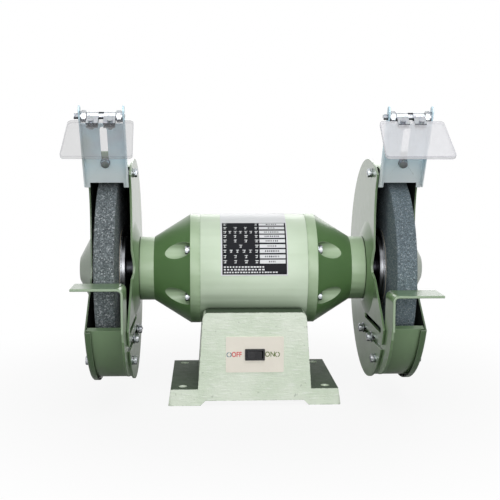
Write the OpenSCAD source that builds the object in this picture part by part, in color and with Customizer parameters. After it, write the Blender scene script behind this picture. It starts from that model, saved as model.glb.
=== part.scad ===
// Bench grinder with two wheels on one motor shaft.
// X runs along the shaft, the operator stands at -Y and +Z is up.
// The origin is the centre of the four foot holes, on the plane of the base's underside.

/* [Motor] */
// Height of the shaft above the underside of the base
axis_h = 132; // [120:1:160]
// Outer diameter of the stator shell
motor_d = 115; // [112:1:122]
// Wall of the stator shell
shell_wall = 9.5; // [8.5:0.5:11]
// Length of the stator shell
shell_len = 109.4; // [100:0.2:130]
// Length of the rim of each end shield
rim_len = 10.8; // [9:0.1:14]
// Length of the cone of each end shield
cone_len = 36.7; // [30:0.1:45]
// Length of the neck of each end shield
neck_len = 15.7; // [15:0.1:20]
// Diameter of the neck
neck_d = 67; // [64:0.5:74]
// How far the rim stands proud of the shell
rim_step = 0.3; // [0.1:0.1:0.8]
// Diameter of the circle of the end shield bolts
bolt_circle = 102; // [101:0.5:104]
// Angle of the end shield bolts above and below the shaft
bolt_angle = 28; // [20:1:40]
// Radius of the pocket around each end shield bolt
pocket_r = 8.5; // [7:0.5:9.5]
// Length of the stator core
core_len = 54; // [40:1:60]
// Diameter of the rotor
rotor_d = 50; // [44:1:56]
// Air gap between rotor and core
air_gap = 0.4; // [0.3:0.1:0.8]
// Number of winding slots
winding_slots = 24; // [12:2:30]

/* [Spindle] */
// Shaft diameter in the rotor
shaft_d = 20; // [18:0.5:22]
// Outer diameter of the bearings
bearing_d = 40; // [38:0.5:42]
// Width of the bearings
bearing_w = 12; // [11:0.5:12]
// Shaft diameter in the bearings
seat_d = 17; // [16.5:0.1:17.5]
// Thread diameter at the wheels
thread_d = 16; // [14:0.5:16.2]
// Width across the flats of the spindle nut
nut_af = 24; // [20:1:26]
// Height of the spindle nut
nut_h = 12.6; // [10:0.2:12.8]

/* [Wheels] */
// Diameter of the grinding wheels
wheel_d = 200; // [180:1:202]
// Thickness of the grinding wheels
wheel_w = 20; // [16:0.5:20.5]
// Bore of the grinding wheels
wheel_bore = 32; // [28:1:36]
// Gap between the guard plate and the wheel
wheel_gap = 11.9; // [10:0.1:14]
// Diameter of the clamping flanges
flange_d = 84; // [70:1:88]
// Thickness of the clamping flanges
flange_w = 5; // [4.5:0.1:5.6]
// Diameter of the raised middle of the clamping flanges
flange_mid_d = 68; // [60:1:68]
// Thickness of the rim of the clamping flanges
flange_rim = 1.6; // [1.4:0.1:2.5]
// Thickness of the paper blotters
blotter_t = 0.5; // [0.3:0.1:0.8]

/* [Guards] */
// Diameter of the guard plates
guard_d = 232; // [228:1:240]
// Thickness of the guard plates
plate_t = 2; // [1.5:0.1:2.5]
// Thickness of the cover and the guard strip
cover_t = 1.5; // [1.2:0.1:1.8]
// Gap between the outer clamping flange and the cover
flange_clear = 1.7; // [1:0.1:4]
// Depth of the boss that the plate makes around the neck
boss_depth = 5.4; // [4:0.1:7]
// Gap between the end of the shaft and the dome
dome_gap = 2.5; // [1.5:0.1:5]
// Depth of the cover's turned rim
lip = 6; // [3:0.5:8]
// Gap between the turned rim and the guard strip
lip_gap = 2.2; // [1:0.1:3]
// Elevation of the guard's upper end
guard_top_angle = 60; // [55:1:65]
// Depression of the guard's lower end
guard_low_angle = 25; // [22:1:30]
// Distance of the guard's cut edge in front of the shaft
cut_front = 43; // [42:0.5:50]
// Height of the tool rest slots
slot_h = 6; // [5.6:0.1:7]
// Depth of the upper slot below the shaft
slot_upper = 52; // [50:0.5:54]
// Depth of the lower slot below the shaft
slot_lower = 68; // [66:0.5:70]

/* [Tool rests] */
// Width of the tool rest plate
rest_w = 49; // [44:1:56]
// Depth of the tool rest plate
rest_depth = 38; // [30:1:44]
// Thickness of the tool rest sheet
rest_t = 2.4; // [2:0.1:2.6]
// Inner radius of the tool rest's bend
rest_bend = 3.5; // [2:0.5:5]
// Gap between tool rest and wheel
rest_gap = 2.2; // [2:0.1:4]
// How far the left tool rest lies below the shaft
rest_drop_left = 2; // [0:0.5:8]
// How far the right tool rest lies below the shaft
rest_drop_right = 10; // [7:0.5:12]

/* [Spark deflectors] */
// How far the deflector reaches past the cover
deflector_over = 2.9; // [2.5:0.1:4]
// Length of the deflector plate
deflector_len = 72; // [66:1:80]
// Thickness of the deflector sheet
deflector_t = 1.5; // [1.2:0.1:1.8]
// Depth of the deflector's side flanges
deflector_flange = 10; // [9:0.5:12]
// Width of the adjusting slot
adjust_slot_w = 7; // [6.4:0.1:8]
// Gap between the deflector's corner tabs and the wheel
deflector_gap = 2.2; // [2:0.1:4]

/* [Eye shields] */
// Width of the eye shield at its free edge
shield_w = 65; // [60:0.5:66]
// Width of the eye shield at its clamped edge
shield_top_w = 61.6; // [56:0.2:66]
// Length of the eye shield
shield_len = 58; // [50:1:70]
// Thickness of the eye shield
shield_t = 3; // [2:0.1:4]
// Angle of the eye shield below the deflector's square
shield_tilt = 5; // [0:1:15]

/* [Base] */
// Width over the feet
base_w = 175; // [165:1:190]
// Depth of the base
base_d = 137; // [130:1:150]
// Width of the pedestal at the feet
pedestal_low_w = 117; // [112:1:124]
// Width of the pedestal at its top
pedestal_top_w = 104; // [96:1:110]
// Height of the shaft above the pedestal's top
pedestal_drop = 37; // [33:1:42]
// Height of the feet
foot_h = 17; // [14:0.5:20]
// How far the ends of the feet lean in from bottom to top
foot_draft = 2.5; // [1:0.5:4]
// Wall of the casting
base_wall = 8; // [6:0.5:10]
// Diameter of the foot holes
foot_hole_d = 9; // [7:0.5:11]
// Distance between the foot holes along X
foot_hole_x = 146; // [140:1:152]
// Distance between the foot holes along Y
foot_hole_y = 110; // [100:1:116]
// Height of the arch between the feet
arch_h = 5; // [4:0.5:7]
// Width of the arch between the feet
arch_w = 100; // [90:1:106]

/* [Switch] */
// Width of the switch plate
switch_plate_w = 58.5; // [50:0.5:64]
// Height of the switch plate
switch_plate_h = 36.4; // [30:0.2:42]
// Depth of the switch below the roof of the hollow base
switch_drop = 12; // [9:0.5:16]
// Width of the switch body
switch_w = 20; // [18:0.2:24]
// Height of the switch body
switch_h = 11.6; // [11:0.2:15]
// Angle of the rocker to each side
rocker_angle = 7; // [5:1:9]

/* [Data plate] */
// Width of the data plate
data_plate_w = 68; // [60:1:76]
// Angle that the data plate covers
data_plate_angle = 95; // [80:1:100]
// Thickness of the data plate
data_plate_t = 0.4; // [0.2:0.1:0.6]

/* [Hidden] */
$fn = 96;
eps = 0.01;
run_gap = 0.04;
sheet_gap = 0.3;
sheet_slide = 0.05;
hole_gap = 0.3;

// Stations along the shaft
shell_end = shell_len / 2;
rim_end = shell_end + rim_len;
cone_end = rim_end + cone_len;
neck_end = cone_end + neck_len;
plate_out = neck_end + boss_depth;
plate_in = plate_out + plate_t;
wheel_in = plate_in + wheel_gap;
wheel_out = wheel_in + wheel_w;
wheel_mid = wheel_in + wheel_w / 2;
neck_wall = 3.6;
bearing_out = neck_end - neck_wall;
bearing_in = bearing_out - bearing_w;
flange_out_end = wheel_out + blotter_t + flange_w;
nut_end = flange_out_end + nut_h;
shaft_end = nut_end + 1.6;
cover_in = flange_out_end + flange_clear;
cover_out = cover_in + cover_t;
dome_end = shaft_end + dome_gap + cover_t;

// Radii
motor_r = motor_d / 2;
shell_bore_r = motor_r - shell_wall;
rim_r = motor_r + rim_step;
neck_r = neck_d / 2;
bolt_r = bolt_circle / 2;
wheel_r = wheel_d / 2;
guard_r = guard_d / 2;
strip_r = guard_r - lip_gap;
flange_r = flange_d / 2;
flange_mid_r = flange_mid_d / 2;
hub_r = wheel_bore / 2 - run_gap;
sleeve_r = 13.5;
sleeve_bore_r = sleeve_r + 1.5;
flange_edge = 0.8;
flange_land = 12;
blotter_inset = 0.5;
nut_chamfer = 0.6;
guard_bore_r = sleeve_bore_r + 1;

// Motor inside
winding_r0 = rotor_d / 2 + air_gap + 1.5;
winding_r1 = winding_r0 + 11;
winding_w = 3.2;
winding_gap = 0.1;
slot_mouth = 1.2;
head_len = 14;
head_bevel = 3;
rotor_ring_len = 5;
rotor_ring_w = 6.5;
shoulder_h = 3;
shoulder_w = 4;
fit_step = 8;

// Bearings
race_r = (bearing_d + seat_d) / 4;
race_gap = 2.2;
ball_r = 3;
ball_gap = 0.06;
ball_count = 8;
wave_w = 3.6;
wave_t = 0.4;

// Fasteners
m3 = 3;
m3_head_d = 5.5;
m3_head = 2;
m4 = 4;
m4_head_d = 7.5;
m4_head = 2;
m5 = 5;
m6 = 6;
saddle_head = 4;
m5_af = 8;
m6_af = 10;
m5_head = 3.5;
m5_nut = 4;
rest_washer_r = 5.5;
stud_out = 0.8;
m6_nut = 5;
m5_washer_d = 9.6;
washer_t = 1;

// End shield
spigot = 5;
shield_edge = 0.6;
bearing_stop = 2.5;
mount_screw_len = 10;
cavity_r = 34;
cavity_small_r = 24;
pocket_mid_r = bolt_r - 1.2;
end_bolt_depth = 12;
guard_screw_circle_r = neck_r - 6.5;
guard_fix_r = 105;
guard_fix_angles = [76, -55, 190];
tab_w = 12;
lower_lip_w = 5;
lip_inset = 0.5;

// Guard plate outline
boss_flat_r = neck_r + 2.5;
boss_end_r = boss_flat_r + 14;
cut_knee_up = 50;
cut_knee_low = -4;
cut_bow = 5;
dome_r = 13;
dome_base = 41;
dome_bend = 3;
dome_step = 1.6;
slot_front = -98;
slot_upper_front = -91;
slot_rear = 22;
slot_upper_rear = 6;
rest_bolt_front = -39;
rest_bolt_rear = 14;

// Tool rest
leg_x = plate_in + sheet_gap;
strip_inset = rest_t + 2 * sheet_gap;
rest_back = -(wheel_r + rest_gap);
rest_front = rest_back - rest_depth;
leg_low = -56.5;
arm_bottom = -77;
leg_clear = -70;
leg_bottom = -94;
leg_front_z = -45;
leg_low_r = 122;
leg_bulge = 22;
arm_knee = -88;
arm_over = 9;
leg_arc_from = -56;
leg_arc = 39;
bolt_head_w = 2.4;
inset_angle = guard_low_angle + 28;

// Deflector, in its own frame: Z outwards along the plate, -Y to the front
deflector_in = leg_x + 0.1;
deflector_w = cover_out + deflector_over - deflector_in;
deflector_start = wheel_r + deflector_gap;
deflector_end = deflector_start + deflector_len;
deflector_mid = deflector_in + deflector_w / 2;
deflector_notch = 5.6;
tab_corner_w = 5;
tab_end = wheel_r + 42;
tab_t = 2;
deflector_bolt_z = wheel_r + 31.5;
slot_low = wheel_r + 27;
slot_high = wheel_r + 71;
ear_r = deflector_flange / 2;
ear_top = deflector_end + 21;
rod_z = deflector_end + 10;
rod_y = -ear_r;
rod_r = 3;
flange_start = 5.5;
rod_out = 4.5;
rod_short = 0.5;
rod_washer_r = 5.5;

// Eye shield
clamp_t = 1.2;
clamp_r = rod_r + clamp_t;
clamp_side = m6_nut + washer_t + 0.5;
clamp_w = deflector_w - 2 * deflector_t - 2 * clamp_side;
clamp_reach = 15.6;
shield_start = 9;
shield_corner = 4;
shield_screw_in = 3.5;
clamp_notch = 5;

// Base
base_r = 4;
pedestal_r = 5;
roof = 10;
saddle_low = axis_h - motor_r;
pedestal_h = axis_h - pedestal_drop;
cavity_top = saddle_low - roof;
cover_recess = arch_h + 1;
base_cover_t = 1.5;
cover_w = pedestal_low_w - 2 * base_wall + 7.4;
cover_d = base_d - 2 * base_wall + 7.4;
cover_screw_in = 7;
cover_boss_r = 6;
cover_boss_h = 14;
foot_w = (base_w - pedestal_low_w) / 2;
foot_wall = 5.5;
saddle_bolt_x = 34;
saddle_bolt_y = 13;
capacitor_z = cavity_top - 26.5;
gland_z = cavity_top - 30.5;
gland_bore_r = 4;
gland_thread_r = 7.8;
gland_af = 19;
gland_hex_h = 5;
gland_out = 13;
front_y = -base_d / 2;
switch_z = cavity_top - switch_drop;
switch_plate_t = 1;
bezel = 1.6;
cup_wall = 1.2;
cup_w = switch_w - 1;
cup_h = switch_h - 1;
cup_depth = 11;
switch_depth = 21;
rocker_gap = 0.9;
rocker_floor_r = 6.5;
rocker_face = [[1, 1.3], [0.45, 0.9], [0, 0.5], [-0.45, 0.9], [-1, 1.3]];
pivot_r = 1;
pivot_in = 0.8;
terminal_w = 3;
terminal_t = 0.8;
terminal_len = 4;

// Electrical parts in the base
block_w = 40;
block_d = 20;
block_h = 14;
block_pitch = 10;
block_gap = 10.5;
block_y = base_d / 2 - base_wall - block_gap - block_d;
capacitor_x = 24;
capacitor_r = 15;
capacitor_len = 62;
capacitor_gap = 4;
capacitor_y = block_y - capacitor_gap - capacitor_len;
clip_w = 12;
clip_t = 1.2;
clip_foot_w = 18;
clip_neck_w = 6;

// Paint and metal colours
green = [0.49, 0.62, 0.44];
pale_green = [0.72, 0.82, 0.68];
zinc = [0.75, 0.77, 0.79];
steel = [0.62, 0.63, 0.65];

// A profile of [radius, station] turned about the shaft
module turned(points, turn = 360, from = 0) {
    translate([0, 0, axis_h]) rotate([90, 0, 90])
        rotate_extrude(angle = turn, start = from) polygon(points);
}

// A flat outline of [Y, height above the shaft] made into a plate from station x0
module plate_at(x0, t) {
    translate([x0, 0, axis_h]) rotate([90, 0, 90]) linear_extrude(t) children();
}

// A cylinder along X
module rod_x(r, x0, x1, y = 0, z = 0) {
    translate([x0, y, z]) rotate([0, 90, 0]) cylinder(r = r, h = x1 - x0);
}

// A ring along X, around the shaft
module ring(r_out, r_in, x0, x1) {
    turned([[r_in, x0], [r_out, x0], [r_out, x1], [r_in, x1]]);
}

// A hexagon of a width across flats, along X
module hex_x(af, x0, x1) {
    translate([x0, 0, 0]) rotate([0, 90, 0]) cylinder(d = af / cos(30), h = x1 - x0, $fn = 6);
}

// Both sides of the machine
module both_sides() {
    children();
    mirror([1, 0, 0]) children();
}

// A place around the shaft, at an elevation seen from the front
module around(r, elevation) {
    translate([0, -r * cos(elevation), axis_h + r * sin(elevation)]) children();
}

// The frame of a deflector: Z along the plate outwards, -Y to the operator
module deflector_frame() {
    translate([0, 0, axis_h]) rotate([90 - guard_top_angle, 0, 0]) children();
}

function on_circle(r, a) = [-r * cos(a), r * sin(a)];

// ---- Base ----

module rounded_box(w, d, h, r) {
    linear_extrude(h) rounded_square(w, d, r);
}

module rounded_square(w, d, r) {
    union() {
        square([w - 2 * r, d], center = true);
        square([w, d - 2 * r], center = true);
        for (x = [-1, 1], y = [-1, 1]) {
            translate([x * (w / 2 - r), y * (d / 2 - r)]) circle(r);
        }
    }
}

module pedestal_front(grow, top, round) {
    low = pedestal_low_w / 2 + grow;
    high = pedestal_top_w / 2 + grow;
    difference() {
        polygon([[-low, 0], [low, 0], [high, top], [-high, top]]);
        for (s = [-1, 1]) {
            translate([s * (high - round / 2 + 1), top - round / 2 + 1])
                difference() {
                    square([round + 2, round + 2], center = true);
                    translate([-s * (round / 2 + 1), -round / 2 - 1]) circle(round);
                }
        }
    }
}

module base() {
    seat_z = cover_recess + base_cover_t;
    color(pale_green)
        difference() {
            union() {
                base_casting();
                at_cover_screws() translate([0, 0, seat_z]) cylinder(r = cover_boss_r, h = cover_boss_h);
            }
            at_cover_screws() cylinder(d = m4, h = seat_z + cover_boss_h - 3);
        }
}

// The plate with the feet, its ends leaning in towards the top
module foot_block() {
    low = base_w / 2;
    lean = foot_draft / foot_h;
    intersection() {
        rounded_box(base_w + 2, base_d, foot_h, base_r);
        rotate([90, 0, 0]) linear_extrude(base_d + 2, center = true)
            polygon([[-low - lean, -1], [low + lean, -1], [low - foot_draft - lean, foot_h + 1],
                     [lean + foot_draft - low, foot_h + 1]]);
    }
}

module base_casting() {
    difference() {
        union() {
            foot_block();
            rotate([90, 0, 0]) linear_extrude(base_d, center = true)
                pedestal_front(0, pedestal_h, pedestal_r);
        }
        // saddle for the stator shell
        rod_x(motor_r + run_gap, -base_w / 2, base_w / 2, 0, axis_h);
        // hollow for the electrical parts
        rotate([90, 0, 0]) linear_extrude(base_d - 2 * base_wall, center = true)
            translate([0, -1]) pedestal_front(-base_wall, cavity_top + 1, 1);
        // recess for the bottom cover
        translate([0, 0, -1]) linear_extrude(cover_recess + base_cover_t + 1)
            square([cover_w + 2 * sheet_gap, cover_d + 2 * sheet_gap], center = true);
        // arch between the feet
        rotate([90, 0, 0]) linear_extrude(base_d + 2, center = true)
            polygon([[-arch_w / 2 - arch_h, -1], [arch_w / 2 + arch_h, -1], [arch_w / 2 + arch_h, 0],
                     [arch_w / 2, arch_h], [-arch_w / 2, arch_h], [-arch_w / 2 - arch_h, 0]]);
        // core pockets under the feet
        for (s = [-1, 1]) {
            translate([s * (base_w + pedestal_low_w) / 4, 0, -1])
                rounded_box(foot_w - 2 * foot_wall, foot_hole_y - 4 * foot_hole_d, foot_h - base_wall + 1, 3);
        }
        for (x = [-1, 1], y = [-1, 1]) {
            translate([x * foot_hole_x / 2, y * foot_hole_y / 2, -1])
                cylinder(d = foot_hole_d, h = foot_h + 2);
        }
        at_saddle_bolts() translate([0, 0, cavity_top - 1]) cylinder(d = m6 + hole_gap, h = motor_r);
        // switch and gland openings
        translate([0, front_y, switch_z])
            cube([cup_w + hole_gap, 3 * base_wall, cup_h + hole_gap], center = true);
        translate([0, -front_y + 1, gland_z]) rotate([90, 0, 0])
            cylinder(r = gland_thread_r + hole_gap / 2, h = base_wall + 2);
    }
}

module at_cover_screws() {
    for (x = [-1, 1], y = [-1, 1]) {
        translate([x * (cover_w / 2 - cover_screw_in), y * (cover_d / 2 - cover_screw_in), 0]) children();
    }
}

module at_saddle_bolts() {
    for (x = [-1, 1], y = [-1, 1]) {
        translate([x * saddle_bolt_x, y * saddle_bolt_y, 0]) children();
    }
}

module base_cover() {
    color(steel)
        difference() {
            translate([0, 0, cover_recess]) linear_extrude(base_cover_t)
                square([cover_w, cover_d], center = true);
            at_cover_screws() cylinder(d = m4 + hole_gap, h = 2 * cover_recess);
        }
}

module base_cover_screws() {
    color(zinc)
        at_cover_screws() translate([0, 0, cover_recess]) {
            cylinder(d = m4, h = base_cover_t + cover_boss_h - 5);
            translate([0, 0, -m4_head]) cylinder(d = m4_head_d, h = m4_head);
        }
}

module cable_gland() {
    hex_d = gland_af / cos(30);
    color([0.12, 0.12, 0.13])
        translate([0, -front_y, gland_z]) rotate([90, 0, 0])
            difference() {
                union() {
                    translate([0, 0, -gland_hex_h]) cylinder(d = hex_d, h = gland_hex_h, $fn = 6);
                    translate([0, 0, -gland_out])
                        cylinder(r1 = gland_thread_r - 1.3, r2 = gland_thread_r, h = gland_out - gland_hex_h);
                    cylinder(r = gland_thread_r, h = base_wall + gland_hex_h);
                    translate([0, 0, base_wall]) cylinder(d = hex_d, h = gland_hex_h - 1, $fn = 6);
                }
                translate([0, 0, -gland_out - 1])
                    cylinder(r = gland_bore_r, h = gland_out + base_wall + gland_hex_h + 2);
            }
}

// ---- Switch ----

module switch_plate() {
    color([0.90, 0.88, 0.82])
        translate([0, front_y, switch_z]) rotate([90, 0, 0])
            difference() {
                rounded_box(switch_plate_w, switch_plate_h, switch_plate_t, 1.5);
                translate([0, 0, -1]) linear_extrude(switch_plate_t + 2)
                    square([cup_w + hole_gap, cup_h + hole_gap], center = true);
            }
}

module switch_body() {
    color([0.05, 0.05, 0.055])
        translate([0, front_y - switch_plate_t, switch_z]) rotate([90, 0, 0])
            difference() {
                union() {
                    rounded_box(switch_w, switch_h, bezel, 0.8);
                    translate([0, 0, -switch_depth]) linear_extrude(switch_depth + eps)
                        square([cup_w, cup_h], center = true);
                    for (x = [-cup_w / 4, cup_w / 4], y = [-cup_h / 4, cup_h / 4]) {
                        translate([x, y, -switch_depth - terminal_len])
                            linear_extrude(2 * terminal_len) square([terminal_w, terminal_t], center = true);
                    }
                }
                translate([0, 0, -cup_depth]) linear_extrude(cup_depth + bezel + 1)
                    square([cup_w - 2 * cup_wall, cup_h - 2 * cup_wall], center = true);
                rotate([90, 0, 0]) rocker_pivot(pivot_r + run_gap, pivot_in + 0.1);
            }
}

// Pivot of the rocker along Z, reaching into both walls of the cup
module rocker_pivot(r, reach) {
    cylinder(r = r, h = cup_h - 2 * cup_wall + 2 * reach, center = true);
}

module rocker() {
    half = cup_w / 2 - cup_wall - rocker_gap;
    tall = cup_h - 2 * cup_wall - 2 * sheet_gap;
    color([0.03, 0.03, 0.035])
        translate([0, front_y - switch_plate_t, switch_z])
            union() {
                rotate([0, 0, -rocker_angle]) linear_extrude(tall, center = true)
                    polygon(concat(
                        [for (p = rocker_face) [-half * p[0], -bezel - p[1]]],
                        [for (a = [10:20:170]) [half * cos(a), 1 + rocker_floor_r * sin(a)]]));
                rocker_pivot(pivot_r, pivot_in);
            }
}

module capacitor() {
    cap_h = 3;
    blade_t = 0.8;
    color([0.85, 0.86, 0.87])
        translate([capacitor_x, capacitor_y, capacitor_z]) rotate([-90, 0, 0]) {
            cylinder(r = capacitor_r, h = capacitor_len);
            translate([0, 0, -cap_h]) cylinder(r = capacitor_r - 1.5, h = cap_h);
            for (x = [-5, 5]) {
                translate([x - blade_t / 2, -3, -cap_h - 8]) cube([blade_t, 6, 8 + eps]);
            }
        }
}

module capacitor_clip() {
    below = cavity_top - capacitor_z;
    color(zinc)
        translate([capacitor_x, capacitor_y + capacitor_len / 2, capacitor_z]) rotate([-90, 0, 0])
            linear_extrude(clip_w)
                difference() {
                    union() {
                        circle(capacitor_r + clip_t);
                        translate([-clip_neck_w / 2, -below])
                            square([clip_neck_w, below - capacitor_r + clip_t]);
                        translate([-clip_foot_w / 2, -below]) square([clip_foot_w, clip_t]);
                    }
                    circle(capacitor_r + run_gap);
                }
}

module terminal_block() {
    color([0.88, 0.88, 0.85])
        difference() {
            translate([-block_w / 2, block_y, cavity_top - block_h]) cube([block_w, block_d, block_h]);
            for (i = [0:block_w / block_pitch - 1]) {
                translate([(i + 0.5) * block_pitch - block_w / 2, block_y, cavity_top]) {
                    translate([0, block_d / 2, -block_h - 1]) cylinder(d = block_pitch / 2, h = block_h - 5);
                    translate([0, -1, -6]) rotate([-90, 0, 0]) cylinder(d = 3.6, h = block_d + 2);
                }
            }
        }
}

module saddle_bolts() {
    color(zinc)
        at_saddle_bolts() {
            translate([0, 0, cavity_top - saddle_head])
                cylinder(d = m6_af / cos(30), h = saddle_head, $fn = 6);
            translate([0, 0, cavity_top - 1]) cylinder(d = m6, h = roof + shell_wall);
        }
}

// ---- Motor ----

module stator_shell() {
    color(green)
        difference() {
            ring(motor_r, shell_bore_r, -shell_end, shell_end);
            at_saddle_bolts() translate([0, 0, saddle_low - 2]) cylinder(d = m6, h = shell_wall + 2);
            both_sides() end_bolt_holes(m5, shell_end - end_bolt_depth, shell_end + 1);
        }
}

module end_bolt_holes(d, x0, x1) {
    for (s = [-1, 1], t = [-1, 1]) {
        rod_x(d / 2, x0, x1, s * bolt_r * cos(bolt_angle), axis_h + t * bolt_r * sin(bolt_angle));
    }
}

module core_outline(slot_r0, slot_r1, slot_w) {
    for (i = [0:winding_slots - 1]) {
        rotate(i * 360 / winding_slots) translate([slot_r0, -slot_w / 2]) square([slot_r1 - slot_r0, slot_w]);
    }
}

module stator_core() {
    color([0.35, 0.36, 0.38])
        plate_at(-core_len / 2, core_len)
            difference() {
                circle(shell_bore_r);
                circle(rotor_d / 2 + air_gap);
                core_outline(winding_r0, winding_r1, winding_w);
                core_outline(rotor_d / 2, winding_r0 + 1, slot_mouth);
            }
}

module windings() {
    r0 = winding_r0 + 1;
    r1 = winding_r1 + 3.5;
    x0 = core_len / 2 + 0.5;
    x1 = core_len / 2 + head_len;
    color([0.72, 0.36, 0.16])
        union() {
            plate_at(-core_len / 2 - 1, core_len + 2)
                core_outline(winding_r0 + winding_gap, winding_r1 - winding_gap, winding_w - 2 * winding_gap);
            both_sides() turned([
                [r0, x0], [r1 - 1.5, x0], [r1, x0 + head_bevel], [r1, x1 - head_bevel],
                [r1 - head_bevel, x1], [r0 + head_bevel, x1], [r0, x1 - head_bevel]]);
        }
}

module data_plate() {
    half = data_plate_w / 2;
    low_edge = 181;
    color([0.10, 0.10, 0.12])
        turned([[motor_r, -half], [motor_r + data_plate_t, -half], [motor_r + data_plate_t, half],
                [motor_r, half]],
               data_plate_angle, low_edge - data_plate_angle);
}

module end_shield() {
    color(green)
        difference() {
            end_shield_body();
            end_bolt_holes(m5 + hole_gap, shell_end - 1, rim_end + 1);
            for (s = [-1, 1], t = [-1, 1]) {
                rod_x(pocket_r, rim_end, cone_end + 2, s * pocket_mid_r * cos(bolt_angle),
                      axis_h + t * pocket_mid_r * sin(bolt_angle));
            }
            guard_mount_holes(m5, neck_end - mount_screw_len, neck_end + 1);
        }
}

// The turned form: spigot, rim, cone, neck, then back through the bearing seat
module end_shield_body() {
    seat_in = bearing_in - bearing_stop;
    turned([
        [cavity_r + 4, shell_end - spigot], [shell_bore_r, shell_end - spigot],
        [shell_bore_r, shell_end], [rim_r, shell_end], [rim_r, rim_end - shield_edge],
        [rim_r - shield_edge, rim_end], [neck_r + shield_edge, cone_end], [neck_r, cone_end + shield_edge],
        [neck_r, neck_end - shield_edge], [neck_r - shield_edge, neck_end], [sleeve_bore_r, neck_end],
        [sleeve_bore_r, bearing_out], [bearing_d / 2, bearing_out], [bearing_d / 2, seat_in],
        [cavity_small_r, seat_in], [cavity_r, shell_end + 5], [cavity_r + 4, shell_end + 2]]);
}

module guard_mount_holes(d, x0, x1) {
    for (a = [90, 210, 330]) {
        rod_x(d / 2, x0, x1, guard_screw_circle_r * cos(a), axis_h + guard_screw_circle_r * sin(a));
    }
}

module end_shield_left() { mirror([1, 0, 0]) end_shield(); }
module end_shield_right() { end_shield(); }

module end_shield_bolts() {
    color(zinc)
        both_sides()
            for (s = [-1, 1], t = [-1, 1]) {
                translate([0, s * bolt_r * cos(bolt_angle), axis_h + t * bolt_r * sin(bolt_angle)]) {
                    rod_x(m5 / 2, shell_end - end_bolt_depth + 1, rim_end + 1);
                    rod_x(m5_washer_d / 2, rim_end, rim_end + washer_t);
                    hex_x(m5_af, rim_end + washer_t - eps, rim_end + washer_t + m5_head);
                }
            }
}

// ---- Bearings ----

module bearing_outer_rings() {
    color(steel)
        both_sides()
            difference() {
                ring(bearing_d / 2, race_r + race_gap, bearing_in, bearing_out);
                race_groove();
            }
}

module race_groove() {
    translate([0, 0, axis_h]) rotate([90, 0, 90])
        rotate_extrude()
            translate([race_r, (bearing_in + bearing_out) / 2]) circle(ball_r + ball_gap, $fn = 48);
}

module bearing_balls() {
    color(steel)
        both_sides()
            for (i = [0:ball_count - 1]) {
                around(race_r, i * 360 / ball_count)
                    translate([(bearing_in + bearing_out) / 2, 0, 0]) sphere(ball_r, $fn = 32);
            }
}

module bearing_inner_rings() {
    color(steel)
        both_sides()
            difference() {
                ring(race_r - race_gap, seat_d / 2, bearing_in, bearing_out);
                race_groove();
            }
}

module wave_washer() {
    r1 = bearing_d / 2 - wave_t;
    r0 = r1 - wave_w;
    color(steel)
        turned([[r0, bearing_in - 2 * wave_t], [r1, bearing_in - wave_t], [r1, bearing_in],
                [r0, bearing_in - wave_t]]);
}

// ---- Spindle ----

module shaft() {
    shoulder = core_len / 2 + rotor_ring_len;
    color(steel)
        turned(concat(
            [[0, -shaft_end]],
            [for (p = shaft_end_profile(bearing_in)) [p[0], -p[1]]],
            [[shaft_d / 2, shoulder], [shaft_d / 2 + shoulder_h, shoulder],
             [shaft_d / 2 + shoulder_h, shoulder + shoulder_w], [shaft_d / 2, shoulder + shoulder_w]],
            [for (i = [5:-1:0]) shaft_end_profile(bearing_in)[i]],
            [[0, shaft_end]]));
}

// Shaft end from the thread's tip inwards to the bearing's shoulder
function shaft_end_profile(inner) = [
    [thread_d / 2 - 1, shaft_end], [thread_d / 2, shaft_end - 1], [thread_d / 2, bearing_out + fit_step],
    [seat_d / 2, bearing_out + fit_step], [seat_d / 2, inner], [shaft_d / 2, inner]];

module rotor() {
    core = core_len / 2;
    r1 = rotor_d / 2;
    ring_r = r1 - 1.5;
    color([0.45, 0.46, 0.48])
        turned([
            [shaft_d / 2, -core], [r1, -core], [r1, core], [ring_r, core], [ring_r, core + rotor_ring_len],
            [ring_r - rotor_ring_w, core + rotor_ring_len], [ring_r - rotor_ring_w, core + 0.5],
            [shaft_d / 2, core + 0.5]]);
}

module inner_flange() {
    face = wheel_in - blotter_t;
    bore = thread_d / 2 + run_gap;
    step = seat_d / 2 + run_gap;
    color(steel)
        turned([
            [bore, bearing_out + fit_step], [step, bearing_out + fit_step], [step, bearing_out],
            [sleeve_r, bearing_out], [sleeve_r, face - flange_w],
            [flange_mid_r - flange_edge, face - flange_w], [flange_mid_r, face - flange_w + flange_edge],
            [flange_mid_r, face - flange_rim],
            [flange_r, face - flange_rim], [flange_r, face], [flange_r - flange_land, face],
            [flange_r - flange_land - 1, face - 1], [hub_r, face - 1],
            [hub_r, wheel_mid + 4], [bore, wheel_mid + 4]]);
}

module outer_flange() {
    face = wheel_out + blotter_t;
    bore = thread_d / 2 + run_gap;
    color(steel)
        turned([
            [bore, face + 1], [flange_r - flange_land - 1, face + 1], [flange_r - flange_land, face],
            [flange_r, face], [flange_r, face + flange_rim], [flange_mid_r, face + flange_rim],
            [flange_mid_r, face + flange_w - flange_edge], [flange_mid_r - flange_edge, face + flange_w],
            [bore, face + flange_w]]);
}

module inner_flange_left() { mirror([1, 0, 0]) inner_flange(); }
module inner_flange_right() { inner_flange(); }
module outer_flange_left() { mirror([1, 0, 0]) outer_flange(); }
module outer_flange_right() { outer_flange(); }

module wheel_blotters() {
    color([0.80, 0.72, 0.55])
        both_sides() {
            ring(flange_r - blotter_inset, wheel_bore / 2, wheel_in - blotter_t, wheel_in);
            ring(flange_r - blotter_inset, wheel_bore / 2, wheel_out, wheel_out + blotter_t);
        }
}

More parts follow.
